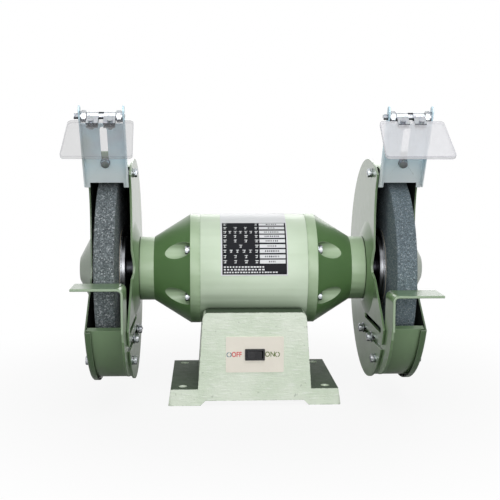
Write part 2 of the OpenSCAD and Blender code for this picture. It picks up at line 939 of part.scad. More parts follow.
module wheel() {
    edge = 1;
    color([0.36, 0.39, 0.43])
        turned([
            [wheel_bore / 2, wheel_in], [wheel_r - edge, wheel_in], [wheel_r, wheel_in + edge],
            [wheel_r, wheel_out - edge], [wheel_r - edge, wheel_out], [wheel_bore / 2, wheel_out]]);
}

module wheel_left() { mirror([1, 0, 0]) wheel(); }
module wheel_right() { wheel(); }

module spindle_nut() {
    nut_cone_r = nut_af / 2 + nut_chamfer;
    color(zinc)
        translate([0, 0, axis_h])
            difference() {
                intersection() {
                    hex_x(nut_af, flange_out_end, nut_end);
                    // chamfered outer corners
                    rotate([0, 90, 0]) translate([0, 0, flange_out_end])
                        cylinder(r1 = nut_cone_r + nut_h, r2 = nut_cone_r, h = nut_h);
                }
                rod_x(thread_d / 2, flange_out_end - 1, nut_end + 1);
            }
}

module spindle_nut_left() { mirror([1, 0, 0]) spindle_nut(); }
module spindle_nut_right() { spindle_nut(); }

// ---- Guards ----

// Room in front of the wheel, cut from plate, cover and lip
module guard_opening() {
    reach = guard_r * 1.6;
    up = guard_top_angle + 0.25;
    top_z = wheel_r * sin(up) - 4;
    low = cut_knee_low;
    polygon(concat(
        [on_circle(reach, up), on_circle(wheel_r + 1, up)],
        [for (i = [0:4]) [-cut_front - cut_bow * pow(1 - i / 4, 2), top_z + (cut_knee_up - top_z) * i / 4]],
        [[-cut_front, low + 10], [-cut_front - 1.5, low + 4], [-cut_front - cut_bow, low - 1]],
        [on_circle(guard_r, -guard_low_angle), on_circle(reach, -guard_low_angle),
         on_circle(reach * 1.2, 15)]));
}

module slot_outline(y0, y1, z) {
    r = slot_h / 2;
    translate([y0 + r, z - r]) square([y1 - y0 - slot_h, slot_h]);
    translate([y0 + r, z]) circle(r, $fn = 48);
    translate([y1 - r, z]) circle(r, $fn = 48);
}

module guard_fix_holes(d, x0, x1) {
    for (a = guard_fix_angles) {
        around(guard_fix_r, a) rod_x(d / 2, x0, x1);
    }
}

module guard_plate() {
    boss_in = neck_end + plate_t;
    color(green)
        difference() {
            turned([
                [guard_bore_r, neck_end], [boss_flat_r, neck_end], [boss_end_r, plate_out],
                [guard_r, plate_out], [guard_r, plate_in], [boss_end_r - 1, plate_in],
                [boss_flat_r - 1, boss_in], [guard_bore_r, boss_in]]);
            plate_at(neck_end - 1, boss_depth + plate_t + 2) guard_opening();
            plate_at(plate_out - 1, plate_t + 2) {
                slot_outline(slot_upper_front, slot_upper_rear, -slot_upper);
                slot_outline(slot_front, slot_rear, -slot_lower);
            }
            guard_mount_holes(m5 + hole_gap, neck_end - 1, boss_in + 1);
            guard_fix_holes(m5 + hole_gap, plate_out - 1, plate_in + 1);
        }
}

// An arc of the strip between two elevations, measured over the top from the front
module strip_arc(a0, a1, r1, r0, x0, x1) {
    turned([[r0, x0], [r1, x0], [r1, x1], [r0, x1]], a1 - a0, 180 - a1);
}

module guard_strip() {
    color(green)
        difference() {
            union() {
                bent_strip();
                deflector_tab();
                lower_lip();
                for (a = guard_fix_angles) {
                    fix_tab(a, plate_in);
                    fix_tab(a, cover_in - cover_t);
                }
            }
            guard_fix_holes(m5 + hole_gap, plate_in - 1, cover_in + 1);
        }
}

// The strip, narrower where the deflector and the leg of the tool rest pass
module bent_strip() {
    inside = strip_r - cover_t;
    narrow_x = leg_x + strip_inset;
    difference() {
        strip_arc(guard_top_angle + 0.5, 360 - guard_low_angle, strip_r, inside, plate_in, cover_in);
        strip_arc(guard_top_angle - 5, guard_top_angle + 12, strip_r + 1, inside - 1, plate_in - 1, narrow_x);
        strip_arc(360 - inset_angle, 365 - guard_low_angle, strip_r + 1, inside - 1, plate_in - 1, narrow_x);
    }
}

module fix_tab(a, x0) {
    plate_at(x0, cover_t)
        intersection() {
            rotate(180 - a) translate([guard_fix_r - tab_w / 2, -tab_w / 2]) square([tab_w * 2, tab_w]);
            circle(strip_r - cover_t / 2);
        }
}

module deflector_tab() {
    x0 = leg_x + strip_inset;
    x1 = cover_out - lip - sheet_gap;
    deflector_frame()
        difference() {
            translate([x0, sheet_gap, strip_r - cover_t - 1])
                cube([x1 - x0, tab_t, tab_end - strip_r + cover_t + 1]);
            translate([deflector_mid, -1, deflector_bolt_z]) rotate([-90, 0, 0])
                cylinder(d = m5 + hole_gap, h = tab_t + 3);
        }
}

module lower_lip() {
    x0 = leg_x + strip_inset + lip_inset;
    translate([0, 0, axis_h]) rotate([guard_low_angle, 0, 0])
        translate([x0, cover_t / 2 - strip_r, -cover_t - lip_inset / 2])
            cube([cover_in - lip_inset - x0, lower_lip_w, cover_t]);
}

module guard_cover() {
    lip_end = cover_out - lip;
    rim = guard_r + cover_t;
    color(green)
        difference() {
            turned([
                [0, dome_end], [dome_r, dome_end], [dome_r + dome_bend, dome_end - dome_step],
                [dome_base, cover_out], [rim - 1, cover_out], [rim, cover_out - 1], [rim, lip_end],
                [guard_r, lip_end], [guard_r, cover_in], [dome_base - 0.6, cover_in],
                [dome_r + dome_bend - 0.6, dome_end - dome_step - cover_t],
                [dome_r, dome_end - cover_t], [0, dome_end - cover_t]]);
            plate_at(lip_end - 1, dome_end - lip_end + 2) guard_opening();
            guard_fix_holes(m5 + hole_gap, cover_in - 1, cover_out + 1);
        }
}

module guard_screws() {
    tab_in = plate_in + cover_t;
    tab_out = cover_in - cover_t;
    color(zinc)
        for (a = guard_fix_angles) {
            around(guard_fix_r, a) {
                // plate to strip: screw from inside, washer and nut outside
                rod_x(m5 / 2, plate_out - washer_t - m5_head - stud_out, tab_in + 1);
                hex_x(m5_af, tab_in, tab_in + m5_head);
                rod_x(m5_washer_d / 2, plate_out - washer_t, plate_out);
                hex_x(m5_af, plate_out - washer_t - m5_head, plate_out - washer_t + eps);
                // cover to strip: screw from outside
                rod_x(m5 / 2, tab_out - m5_head - 2, cover_out + 1);
                rod_x(m5_washer_d / 2, cover_out, cover_out + washer_t);
                hex_x(m5_af, cover_out + washer_t - eps, cover_out + washer_t + m5_head);
                hex_x(m5_af, tab_out - m5_head, tab_out);
            }
        }
}

module guard_plate_left() { mirror([1, 0, 0]) guard_plate(); }
module guard_plate_right() { guard_plate(); }
module guard_strip_left() { mirror([1, 0, 0]) guard_strip(); }
module guard_strip_right() { guard_strip(); }
module guard_cover_left() { mirror([1, 0, 0]) guard_cover(); }
module guard_cover_right() { guard_cover(); }
module guard_screws_left() { mirror([1, 0, 0]) guard_screws(); }
module guard_screws_right() { guard_screws(); }

module guard_mount_screws() {
    color(zinc)
        both_sides()
            for (a = [90, 210, 330]) {
                translate([0, guard_screw_circle_r * cos(a), axis_h + guard_screw_circle_r * sin(a)]) {
                    rod_x(m5 / 2, neck_end - mount_screw_len + 1, neck_end + plate_t + 1);
                    rod_x(4.5, neck_end + plate_t, neck_end + plate_t + 3);
                }
            }
}

// ---- Spark deflectors ----

module deflector_bolts() {
    face = deflector_t + sheet_slide;
    back = sheet_gap + tab_t;
    color(zinc)
        both_sides()
            deflector_frame()
                translate([deflector_mid, 0, deflector_bolt_z]) rotate([90, 0, 0]) {
                    translate([0, 0, -back - m5_nut - 2]) cylinder(d = m5, h = back + m5_nut + 4);
                    translate([0, 0, -back - m5_nut]) cylinder(d = m5_af / cos(30), h = m5_nut, $fn = 6);
                    translate([0, 0, face]) cylinder(d = m5_washer_d, h = washer_t);
                    translate([0, 0, face + washer_t - eps])
                        cylinder(d = m5_af / cos(30), h = m5_head, $fn = 6);
                }
}

module deflector() {
    x0 = deflector_in;
    x1 = deflector_in + deflector_w;
    z0 = deflector_start;
    flange_z0 = z0 + flange_start;
    color([0.66, 0.72, 0.78])
        deflector_frame()
            difference() {
                union() {
                    translate([x0, -deflector_t, z0]) cube([deflector_w, deflector_t, deflector_len]);
                    for (x = [x0, x1 - deflector_t]) {
                        translate([x, -deflector_flange, flange_z0])
                            cube([deflector_t, deflector_flange, ear_top - ear_r - flange_z0]);
                        translate([x, rod_y, ear_top - ear_r]) rotate([0, 90, 0])
                            cylinder(r = ear_r, h = deflector_t);
                    }
                }
                // notch between the corner tabs
                translate([x0 + tab_corner_w, -deflector_t - 1, z0 - 1])
                    cube([deflector_w - 2 * tab_corner_w, deflector_t + 2, deflector_notch + 1]);
                slot_in_plate();
                translate([x0 - 1, rod_y, rod_z]) rotate([0, 90, 0])
                    cylinder(r = rod_r + sheet_slide, h = deflector_w + 2);
            }
}

module slot_in_plate() {
    w = adjust_slot_w;
    translate([deflector_mid, 1, 0]) rotate([90, 0, 0]) linear_extrude(deflector_t + 2) {
        translate([-w / 2, slot_low + w / 2]) square([w, slot_high - slot_low - w]);
        translate([0, slot_low + w / 2]) circle(w / 2);
        translate([0, slot_high - w / 2]) circle(w / 2);
    }
}

module deflector_left() { mirror([1, 0, 0]) deflector(); }
module deflector_right() { deflector(); }

// Rod through the ears with a nut and a washer inside each; its long end is at x0 or at x1
module shield_rod(long0, long1) {
    x0 = deflector_in;
    x1 = deflector_in + deflector_w;
    in0 = x0 + deflector_t;
    in1 = x1 - deflector_t;
    color(zinc)
        deflector_frame()
            translate([0, rod_y, rod_z]) {
                rod_x(rod_r, x0 - long0, x1 + long1);
                hex_x(m6_af, in0 + washer_t, in0 + washer_t + m6_nut);
                hex_x(m6_af, in1 - washer_t - m6_nut, in1 - washer_t);
                rod_x(rod_washer_r, in0 + sheet_slide, in0 + washer_t + eps);
                rod_x(rod_washer_r, in1 - washer_t - eps, in1 - sheet_slide);
            }
}

module shield_rod_left() { mirror([1, 0, 0]) shield_rod(rod_short, rod_out); }
module shield_rod_right() { shield_rod(rod_out, rod_short); }

// ---- Eye shields ----

// Frame of the shield: X along the rod, -Y along the shield to the front
module shield_frame() {
    deflector_frame()
        translate([deflector_mid, rod_y, rod_z]) rotate([shield_tilt, 0, 0]) children();
}

module shield_clamp() {
    z0 = shield_t / 2;
    color(zinc)
        shield_frame()
            difference() {
                union() {
                    rod_x(clamp_r, -clamp_w / 2, clamp_w / 2);
                    for (z = [z0, -z0 - clamp_t]) {
                        translate([-clamp_w / 2, -clamp_reach, z]) cube([clamp_w, clamp_reach - 1, clamp_t]);
                    }
                }
                rod_x(rod_r + run_gap, -clamp_w, clamp_w);
                // notch in the middle of the clamp
                translate([-clamp_notch / 2, -clamp_reach - 1, -clamp_r - 1])
                    cube([clamp_notch, clamp_reach + 1 + rod_r - 0.2, 2 * clamp_r + 2]);
                at_shield_screws() translate([0, 0, -clamp_r])
                    cylinder(d = m3 + hole_gap, h = 2 * clamp_r);
            }
}

module at_shield_screws() {
    for (x = [-1, 1]) {
        translate([x * clamp_w / 3, -clamp_reach + shield_screw_in, 0]) children();
    }
}

// Outline of the shield, a little narrower at the clamp, with rounded corners
module shield_outline() {
    r = shield_corner;
    far = -shield_start - shield_len + r;
    near = -shield_start - r;
    low = shield_w / 2 - r;
    high = shield_top_w / 2 - r;
    polygon(concat(
        corner_arc(low, far, r, -90), corner_arc(high, near, r, 0),
        corner_arc(-high, near, r, 90), corner_arc(-low, far, r, 180)));
}

function corner_arc(x, y, r, from) = [for (a = [from:11.25:from + 90]) [x + r * cos(a), y + r * sin(a)]];

module eye_shield() {
    color([0.80, 0.88, 0.94, 0.35])
        shield_frame()
            difference() {
                translate([0, 0, -shield_t / 2]) linear_extrude(shield_t) shield_outline();
                at_shield_screws() translate([0, 0, -shield_t]) cylinder(d = m3 + hole_gap, h = 2 * shield_t);
            }
}

module shield_screws() {
    z0 = shield_t / 2 + clamp_t;
    nut_h3 = 2.4;
    color(zinc)
        shield_frame()
            at_shield_screws() {
                translate([0, 0, -z0 - nut_h3 - 0.6]) cylinder(d = m3, h = 2 * z0 + nut_h3 + 1);
                translate([0, 0, z0]) cylinder(d = m3_head_d, h = m3_head);
                translate([0, 0, -z0 - nut_h3]) cylinder(d = m3_head_d / cos(30), h = nut_h3, $fn = 6);
            }
}

module shield_clamp_left() { mirror([1, 0, 0]) shield_clamp(); }
module shield_clamp_right() { shield_clamp(); }
module eye_shield_left() { mirror([1, 0, 0]) eye_shield(); }
module eye_shield_right() { eye_shield(); }
module shield_screws_left() { mirror([1, 0, 0]) shield_screws(); }
module shield_screws_right() { shield_screws(); }

// ---- Tool rests ----

// The leg hangs behind the guard plate and reaches back to the two bolts
module leg_outline(drop) {
    top = -drop - rest_t - rest_bend;
    arm_end = rest_bolt_rear + arm_over;
    polygon(concat(
        [[rest_back, top], [rest_back + 2, -guard_r * sin(guard_low_angle) + 2], [arm_knee, leg_low],
         [arm_end, leg_low], [arm_end, arm_bottom], [leg_clear, arm_bottom], [leg_clear - 1, leg_bottom]],
        [for (i = [0:8]) on_circle(leg_low_r + leg_bulge * sin(i * 90 / 8), leg_arc_from + leg_arc * i / 8)],
        [[rest_front, leg_front_z], [rest_front, top]]));
}

module tool_rest(drop) {
    x0 = leg_x;
    x1 = leg_x + rest_t;
    r1 = rest_bend + rest_t;
    z0 = axis_h - drop;
    color(green)
        difference() {
            union() {
                plate_at(x0, rest_t) leg_outline(drop);
                translate([x0 + r1, rest_front, z0 - rest_t]) cube([rest_w - r1, rest_depth, rest_t]);
                translate([x0 + r1, rest_back, z0 - r1]) rotate([90, 0, 0])
                    linear_extrude(rest_depth)
                        intersection() {
                            difference() {
                                circle(r1);
                                circle(rest_bend);
                            }
                            translate([-r1, 0]) square([r1, r1]);
                        }
            }
            for (y = [rest_bolt_front, rest_bolt_rear]) {
                rod_x((m5 + hole_gap) / 2, x0 - 1, x1 + 1, y, axis_h - slot_lower);
            }
        }
}

module tool_rest_left() { mirror([1, 0, 0]) tool_rest(rest_drop_left); }
module tool_rest_right() { tool_rest(rest_drop_right); }

module rest_bolts() {
    leg_out = leg_x + rest_t;
    face = plate_out - sheet_slide;
    color(zinc)
        for (y = [rest_bolt_front, rest_bolt_rear]) {
            translate([0, y, axis_h - slot_lower]) {
                rod_x(m5 / 2, face - washer_t - m5_nut - stud_out, leg_out + 1);
                rod_x(m5, leg_out, leg_out + bolt_head_w);
                rod_x(rest_washer_r, face - washer_t, face);
                hex_x(m5_af, face - washer_t - m5_nut, face - washer_t + eps);
            }
        }
}

module rest_bolts_left() { mirror([1, 0, 0]) rest_bolts(); }
module rest_bolts_right() { rest_bolts(); }

base();
base_cover();
base_cover_screws();
cable_gland();
switch_plate();
switch_body();
rocker();
capacitor();
capacitor_clip();
terminal_block();
saddle_bolts();
stator_shell();
stator_core();
windings();
data_plate();
end_shield_left();
end_shield_right();
end_shield_bolts();
bearing_outer_rings();
bearing_balls();
bearing_inner_rings();
wave_washer();
shaft();
rotor();
inner_flange_left();
inner_flange_right();
outer_flange_left();
outer_flange_right();
wheel_blotters();
wheel_left();
wheel_right();
spindle_nut_left();
spindle_nut_right();
guard_plate_left();
guard_plate_right();
guard_strip_left();
guard_strip_right();
guard_cover_left();
guard_cover_right();
guard_screws_left();
guard_screws_right();
guard_mount_screws();
deflector_bolts();
deflector_left();
deflector_right();
shield_rod_left();
shield_rod_right();
shield_clamp_left();
shield_clamp_right();
shield_screws_left();
shield_screws_right();
eye_shield_left();
eye_shield_right();
tool_rest_left();
tool_rest_right();
rest_bolts_left();
rest_bolts_right();
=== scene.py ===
import math
import random

import bmesh
import bpy
from mathutils import Matrix, Vector, noise


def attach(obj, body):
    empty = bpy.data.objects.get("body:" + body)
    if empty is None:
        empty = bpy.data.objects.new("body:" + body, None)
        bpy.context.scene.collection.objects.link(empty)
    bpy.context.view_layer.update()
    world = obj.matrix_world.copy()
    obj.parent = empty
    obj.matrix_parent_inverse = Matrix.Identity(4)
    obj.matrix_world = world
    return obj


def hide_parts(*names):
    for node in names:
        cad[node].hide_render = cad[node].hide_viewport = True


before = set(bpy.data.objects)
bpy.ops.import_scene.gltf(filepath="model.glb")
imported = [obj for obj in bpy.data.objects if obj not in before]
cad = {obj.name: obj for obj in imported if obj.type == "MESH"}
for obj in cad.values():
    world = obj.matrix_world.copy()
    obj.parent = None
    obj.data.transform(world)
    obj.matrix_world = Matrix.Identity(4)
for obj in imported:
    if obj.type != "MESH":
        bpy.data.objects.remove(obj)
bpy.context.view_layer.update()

mm = 0.001
axisHeight = 132 * mm
random.seed(7)
print("frame loaded:", len(cad), "nodes")


class Tap:  # one output socket of a shader node, usable in sums
    def __init__(self, shading, socket):
        self.shading = shading
        self.socket = socket

    def __add__(self, other):
        return self.shading.maths("ADD", self, other)

    def __sub__(self, other):
        return self.shading.maths("SUBTRACT", self, other)

    def __rsub__(self, other):
        return self.shading.maths("SUBTRACT", other, self)

    def __mul__(self, other):
        return self.shading.maths("MULTIPLY", self, other)

    __radd__ = __add__


class Shading:  # the shader nodes of a material or of the world
    def __init__(self, tree):
        self.tree = tree

    def node(self, kind, settings=None, inputs=None, output=0):
        made = self.tree.nodes.new(kind)
        for key, value in (settings or {}).items():
            setattr(made, key, value)
        for key, value in (inputs or {}).items():
            self.join(made.inputs[key], value)
        return Tap(self, made.outputs[output])

    def join(self, socket, value):
        if isinstance(value, Tap):
            self.tree.links.new(value.socket, socket)
        else:
            socket.default_value = value

    def maths(self, operation, *values):
        return self.node("ShaderNodeMath", {"operation": operation}, dict(enumerate(values)))


class Paint(Shading):  # one material
    def __init__(self, name, **constants):
        self.material = bpy.data.materials.new(name)
        self.material.use_nodes = True
        super().__init__(self.material.node_tree)
        self.shader = self.tree.nodes["Principled BSDF"]
        for socket, value in constants.items():
            self.shader.inputs[socket].default_value = value
        self.place = self.node("ShaderNodeTexCoord", output="Object")

    def clamp(self, value):
        return self.node("ShaderNodeClamp", None, {"Value": value})

    def mix(self, amount, first, second):
        return self.node("ShaderNodeMix", {"data_type": "RGBA"}, {0: amount, 6: first, 7: second}, output=2)

    def vector(self, operation, *values, output=0):
        return self.node("ShaderNodeVectorMath", {"operation": operation}, dict(enumerate(values)), output)

    def stretched(self, scale, turn=(0, 0, 0)):
        return self.node("ShaderNodeMapping", None, {"Vector": self.place, "Scale": scale, "Rotation": turn})

    def grain(self, scale, detail, rough=0.55, at=None):
        return self.node("ShaderNodeTexNoise", None,
                         {"Vector": at or self.place, "Scale": scale, "Detail": detail, "Roughness": rough})

    def cells(self, scale, output=0):
        return self.node("ShaderNodeTexVoronoi", None, {"Vector": self.place, "Scale": scale}, output)

    def step(self, value, low, high):  # 0 below low, 1 above high
        return self.node("ShaderNodeMapRange", {"interpolation_type": "SMOOTHSTEP"},
                         {"Value": value, "From Min": low, "From Max": high})

    def edges(self, radius, strength=3.0):  # 1 along sharp edges
        soft = self.node("ShaderNodeBevel", {"samples": 6}, {"Radius": radius})
        hard = self.node("ShaderNodeNewGeometry", output="Normal")
        return self.clamp((1 - self.vector("DOT_PRODUCT", soft, hard, output="Value")) * strength)

    def height(self):
        return self.node("ShaderNodeSeparateXYZ", None, {0: self.place}, "Z")

    def fromShaft(self):  # the arm from the middle of the shaft
        return self.vector("SUBTRACT", self.place, (0, 0, axisHeight))

    def facing(self, axis):  # the normal's part along X, Y or Z
        normal = self.node("ShaderNodeNewGeometry", output="Normal")
        return self.node("ShaderNodeSeparateXYZ", None, {0: normal}, axis)

    def corners(self, reach):  # 1 deep in a corner
        return 1 - self.node("ShaderNodeAmbientOcclusion", {"samples": 4}, {"Distance": reach}, "AO")

    def roundNormal(self):  # truly round about the shaft where a face wraps it
        outward = self.vector("NORMALIZE", self.vector("MULTIPLY", self.fromShaft(), (0, 1, 1)))
        normal = self.node("ShaderNodeNewGeometry", output="Normal")
        facet = self.node("ShaderNodeNewGeometry", output="True Normal")
        along = self.vector("DOT_PRODUCT", facet, outward, output="Value")
        return self.mix(self.step(along, 0.975, 0.995), normal, outward)

    def bump(self, height, distance, strength, under=None):
        inputs = {"Height": height, "Distance": distance, "Strength": strength}
        if under is not None:
            inputs["Normal"] = under
        return self.node("ShaderNodeBump", None, inputs)

    def feed(self, **taps):
        for socket, tap in taps.items():
            self.join(self.shader.inputs[socket.replace("_", " ")], tap)
        return self.material


def shade(*screen):  # red, green and blue from 0 to 255, as a linear colour
    return (*[(v / 255 / 12.92) if v <= 10 else ((v / 255 + 0.055) / 1.055) ** 2.4 for v in screen], 1.0)


greenPaint = {
    "body": shade(116, 146, 102),
    "cloud": shade(106, 137, 92),
    "edge": shade(158, 182, 146),
    "dust": shade(140, 150, 132),
    "sootAndShade": shade(26, 30, 26),
    "underShade": shade(66, 94, 56),
    "creaseShade": shade(28, 46, 24),
    "roughness": 0.30,
    "coat": 0.7,
    "haze": 0.16,
    "peel": 0.04,
    "edgeWearAndGlint": 0.8,
}


def insideOf(paint, part):  # 1 on the faces of a guard part that look at the wheel
    normal = paint.node("ShaderNodeNewGeometry", output="Normal")
    outwards = {"strip": (0, 1, 1), "cover": (1, 0, 0), "plate": (-1, 0, 0)}[part]
    arm = paint.vector("MULTIPLY", paint.fromShaft(), outwards)
    facing = paint.vector("DOT_PRODUCT", paint.vector("NORMALIZE", arm), normal, output="Value")
    return paint.step(facing, -0.25, -0.55)


def sageEnamel(name, tint, part=None):
    look = dict(greenPaint, **tint)
    paint = Paint(name, IOR=1.5)
    for socket, value in (("Coat Roughness", look["haze"]), ("Coat IOR", 1.5), ("Specular IOR Level", 0.45)):
        paint.shader.inputs[socket].default_value = value
    cloud = paint.grain(14, 3)
    colour = paint.mix(paint.step(cloud, 0.35, 0.7), look["body"], look["cloud"])
    # painted shade: faces turned along the shaft, the cones, take the darker cone colour
    if "cone" in look:
        along = paint.maths("ABSOLUTE", paint.facing("X"))
        colour = paint.mix(paint.step(along, 0.15, 0.50), colour, look["cone"])
    # painted shade: faces that look downward are mixed towards the darker underShade colour
    colour = paint.mix(paint.step(0 - paint.facing("Z"), 0.22, 0.92) * 0.88, colour, look["underShade"])
    speck = paint.step(paint.grain(950, 2), 0.68, 0.78)
    colour = paint.mix(speck * 0.25, colour, look["dust"])
    # edges paler: partly paint wear, partly a painted highlight along the edges
    edgeWearAndGlint = paint.edges(0.0009) * look["edgeWearAndGlint"] * (0.6 + paint.grain(160, 3))
    colour = paint.mix(paint.clamp(edgeWearAndGlint), colour, look["edge"])
    # painted highlight: faces that look to the front are paler
    if "cut" in look:
        colour = paint.mix(paint.step(0 - paint.facing("Y"), 0.85, 0.97), colour, look["cut"])
    # painted shade: darker where surfaces close in on a corner (ambient occlusion)
    colour = paint.mix(paint.step(paint.corners(0.004), 0.30, 0.75) * 0.8, colour, look["creaseShade"])
    # faces that look at the wheel go near black: partly grinding soot, partly painted shade inside the guard
    sootAndShadeMask = 0.0
    if part:
        sootAndShadeMask = insideOf(paint, part) * (0.86 + paint.grain(70, 4) * 0.14)
        colour = paint.mix(sootAndShadeMask, colour, look["sootAndShade"])
    ripples = paint.grain(420, 2) + paint.grain(60, 2) * 0.6
    return paint.feed(
        Base_Color=colour,
        Roughness=look["roughness"] + paint.grain(90, 4) * 0.12 + speck * 0.15 + sootAndShadeMask * 0.35,
        Coat_Weight=paint.clamp(look["coat"] - speck * 0.3 - sootAndShadeMask * 0.6),
        Normal=paint.bump(ripples, 0.0004, look["peel"], paint.roundNormal() if part else None))


castPaint = {
    # body, thin and pale are the cast paint as front light shows it, a painted highlight; foot is the same
    # paint in painted shade
    "body": shade(227, 236, 220),
    "thin": shade(212, 225, 204),
    "pale": shade(242, 246, 239),
    "pit": shade(84, 100, 78),
    "foot": shade(34, 58, 28),
    "footLevel": (0.020, 0.024),
    "saddleLevel": (0.084, 0.088),
}


def castIronPaint(name, look):
    paint = Paint(name, IOR=1.5)
    paint.shader.inputs["Coat Roughness"].default_value = 0.18
    rough = paint.grain(130, 8, 0.65)
    streakPlace = paint.stretched((90, 90, 560), (0, math.radians(-9), 0))
    streaks = paint.grain(1.0, 5, 0.6, at=streakPlace)
    patch = paint.grain(22, 3)
    colour = paint.mix(paint.step(patch, 0.35, 0.65), look["body"], look["thin"])
    colour = paint.mix(paint.step(streaks, 0.5, 0.75) * 0.6, colour, look["pale"])
    pits = paint.step(paint.grain(240, 3), 0.66, 0.74) * 0.35
    edge = paint.edges(0.0018, 2.6)
    chips = edge * paint.step(paint.grain(330, 4), 0.44, 0.56)
    colour = paint.mix(paint.clamp(pits + chips * 0.8), colour, look["pit"])
    height = paint.height()
    onFoot = 1 - paint.step(height, *look["footLevel"])
    onSaddle = paint.step(height, *look["saddleLevel"])
    # painted shade: faces that look upward on the feet and on the saddle take the dark foot colour
    footTop = paint.step(paint.facing("Z"), 0.75, 0.95) * (onFoot + onSaddle)
    colour = paint.mix(footTop * 0.96, colour, look["foot"])
    surface = rough * 0.95 + streaks * 0.8 + paint.grain(700, 3) * 0.15
    return paint.feed(
        Base_Color=colour,
        Roughness=0.26 + rough * 0.22 + footTop * 0.4,
        Coat_Weight=paint.clamp(0.6 - footTop * 0.8),
        Normal=paint.bump(surface, 0.0011, 0.5))


zincPaint = {
    "body": (0.60, 0.63, 0.66, 1),
    "cloud": (0.42, 0.44, 0.47, 1),
    "grime": (0.12, 0.12, 0.13, 1),
    "rim": (0.14, 0.15, 0.17, 1),
    "under": (0.035, 0.04, 0.05, 1),
}


def zincPlate(name, look):
    paint = Paint(name, Metallic=1.0)
    spots = paint.cells(900, output="Color")
    cloud = paint.grain(150, 4)
    colour = paint.mix(paint.step(cloud, 0.3, 0.75), look["body"], look["cloud"])
    colour = paint.mix(0.06, colour, spots)
    grime = paint.step(paint.grain(420, 4), 0.56, 0.72)
    colour = paint.mix(grime * 0.6, colour, look["grime"])
    # painted shade: darker along the edges of heads, nuts and washers
    colour = paint.mix(paint.edges(0.0006, 2.0) * 0.6, colour, look["rim"])
    # painted shade: near black in corners (ambient occlusion) and on faces that look downward
    inCorner = paint.step(paint.corners(0.004), 0.45, 0.85)
    below = paint.step(0 - paint.facing("Z"), 0.20, 0.80)
    colour = paint.mix(paint.clamp(inCorner * 0.8 + below * 0.8), colour, look["under"])
    return paint.feed(
        Base_Color=colour,
        Roughness=0.22 + cloud * 0.18 + grime * 0.2,
        Normal=paint.bump(paint.grain(1400, 2), 0.0001, 0.25))


sheetPaint = {
    "body": (0.60, 0.84, 0.96, 1),
    "cloud": (0.70, 0.88, 0.97, 1),
    "low": (0.80, 0.88, 0.90, 1),
    "lowLevel": (0.226, 0.262),
    "yellow": (0.60, 0.63, 0.53, 1),
    "rose": (0.60, 0.55, 0.62, 1),
    "rim": (0.10, 0.12, 0.13, 1),
}


def zincSheet(name, warm, look):
    paint = Paint(name, Metallic=0.25)
    lines = paint.grain(1.0, 4, at=paint.stretched((60, 900, 900), (math.radians(30), 0, 0)))
    cloud = paint.grain(28, 3)
    colour = paint.mix(paint.step(cloud, 0.35, 0.65), look["body"], look["cloud"])
    colour = paint.mix(1 - paint.step(paint.height(), *look["lowLevel"]), colour, look["low"])
    sheen = paint.step(paint.grain(17, 2), 0.50, 0.72) * warm
    colour = paint.mix(sheen, colour, look["yellow"])
    rose = paint.step(paint.grain(21, 2, at=paint.stretched((1, 1.6, 1))), 0.55, 0.75) * warm * 0.7
    colour = paint.mix(rose, colour, look["rose"])
    # darker along the edges, and painted shade in corners (ambient occlusion)
    rim = paint.edges(0.0007, 2.4) * 0.7 + paint.step(paint.corners(0.003), 0.45, 0.85) * 0.5
    return paint.feed(
        Base_Color=paint.mix(paint.clamp(rim), colour, look["rim"]),
        Roughness=0.30 + cloud * 0.12 + lines * 0.10,
        Normal=paint.bump(lines, 0.00012, 0.35))


def turnedSteel(name, guardShade=False):
    paint = Paint(name, Metallic=1.0)
    radius = paint.vector("LENGTH", paint.vector("MULTIPLY", paint.fromShaft(), (0, 1, 1)), output="Value")
    grooves = paint.node("ShaderNodeCombineXYZ", None, {0: radius * 4200, 1: 0.3, 2: 0.7})
    rings = paint.grain(1.0, 3, at=grooves)
    cloud = paint.grain(70, 4)
    colour = paint.mix(cloud, (0.66, 0.67, 0.70, 1), (0.46, 0.47, 0.49, 1))
    oil = paint.step(paint.grain(160, 4), 0.6, 0.72)
    colour = paint.mix(oil * 0.4, colour, (0.22, 0.20, 0.18, 1))
    # painted shade: the flange steel goes near black inside the guard, except its round outer rim 26 to 30
    # mm and more from the shaft
    if guardShade:
        flank = 1 - paint.step(paint.maths("ABSOLUTE", paint.facing("X")), 0.75, 0.90)
        colour = paint.mix(1 - paint.step(radius, 0.026, 0.030) * flank, colour, (0.05, 0.052, 0.06, 1))
    return paint.feed(
        Base_Color=colour,
        Roughness=0.20 + rings * 0.18 + oil * 0.2,
        Normal=paint.bump(rings, 0.00008, 0.4))


def abrasiveGrain(name, scale, dark, light, spark):
    paint = Paint(name, Roughness=0.9, IOR=1.5)
    paint.shader.inputs["Specular IOR Level"].default_value = 0.35
    grains = paint.cells(scale, output="Color")
    tone = paint.node("ShaderNodeSeparateColor", None, {0: grains}, 0)
    mesh = paint.cells(scale)
    colour = paint.mix(tone, dark, light)
    colour = paint.mix(paint.step(tone, 0.86, 0.93), colour, spark)
    voids = paint.step(paint.grain(scale * 0.55, 3), 0.60, 0.70)
    colour = paint.mix(voids * 0.75, colour, (0.035, 0.038, 0.045, 1))
    worn = paint.grain(40, 4)
    colour = paint.mix(worn * 0.25, colour, light)
    relief = tone * 0.8 - mesh * 0.8 - voids * 1.2
    return paint.feed(
        Base_Color=colour,
        Roughness=0.95 - paint.step(tone, 0.86, 0.93) * 0.5,
        Normal=paint.bump(relief, 0.0009, 0.8))


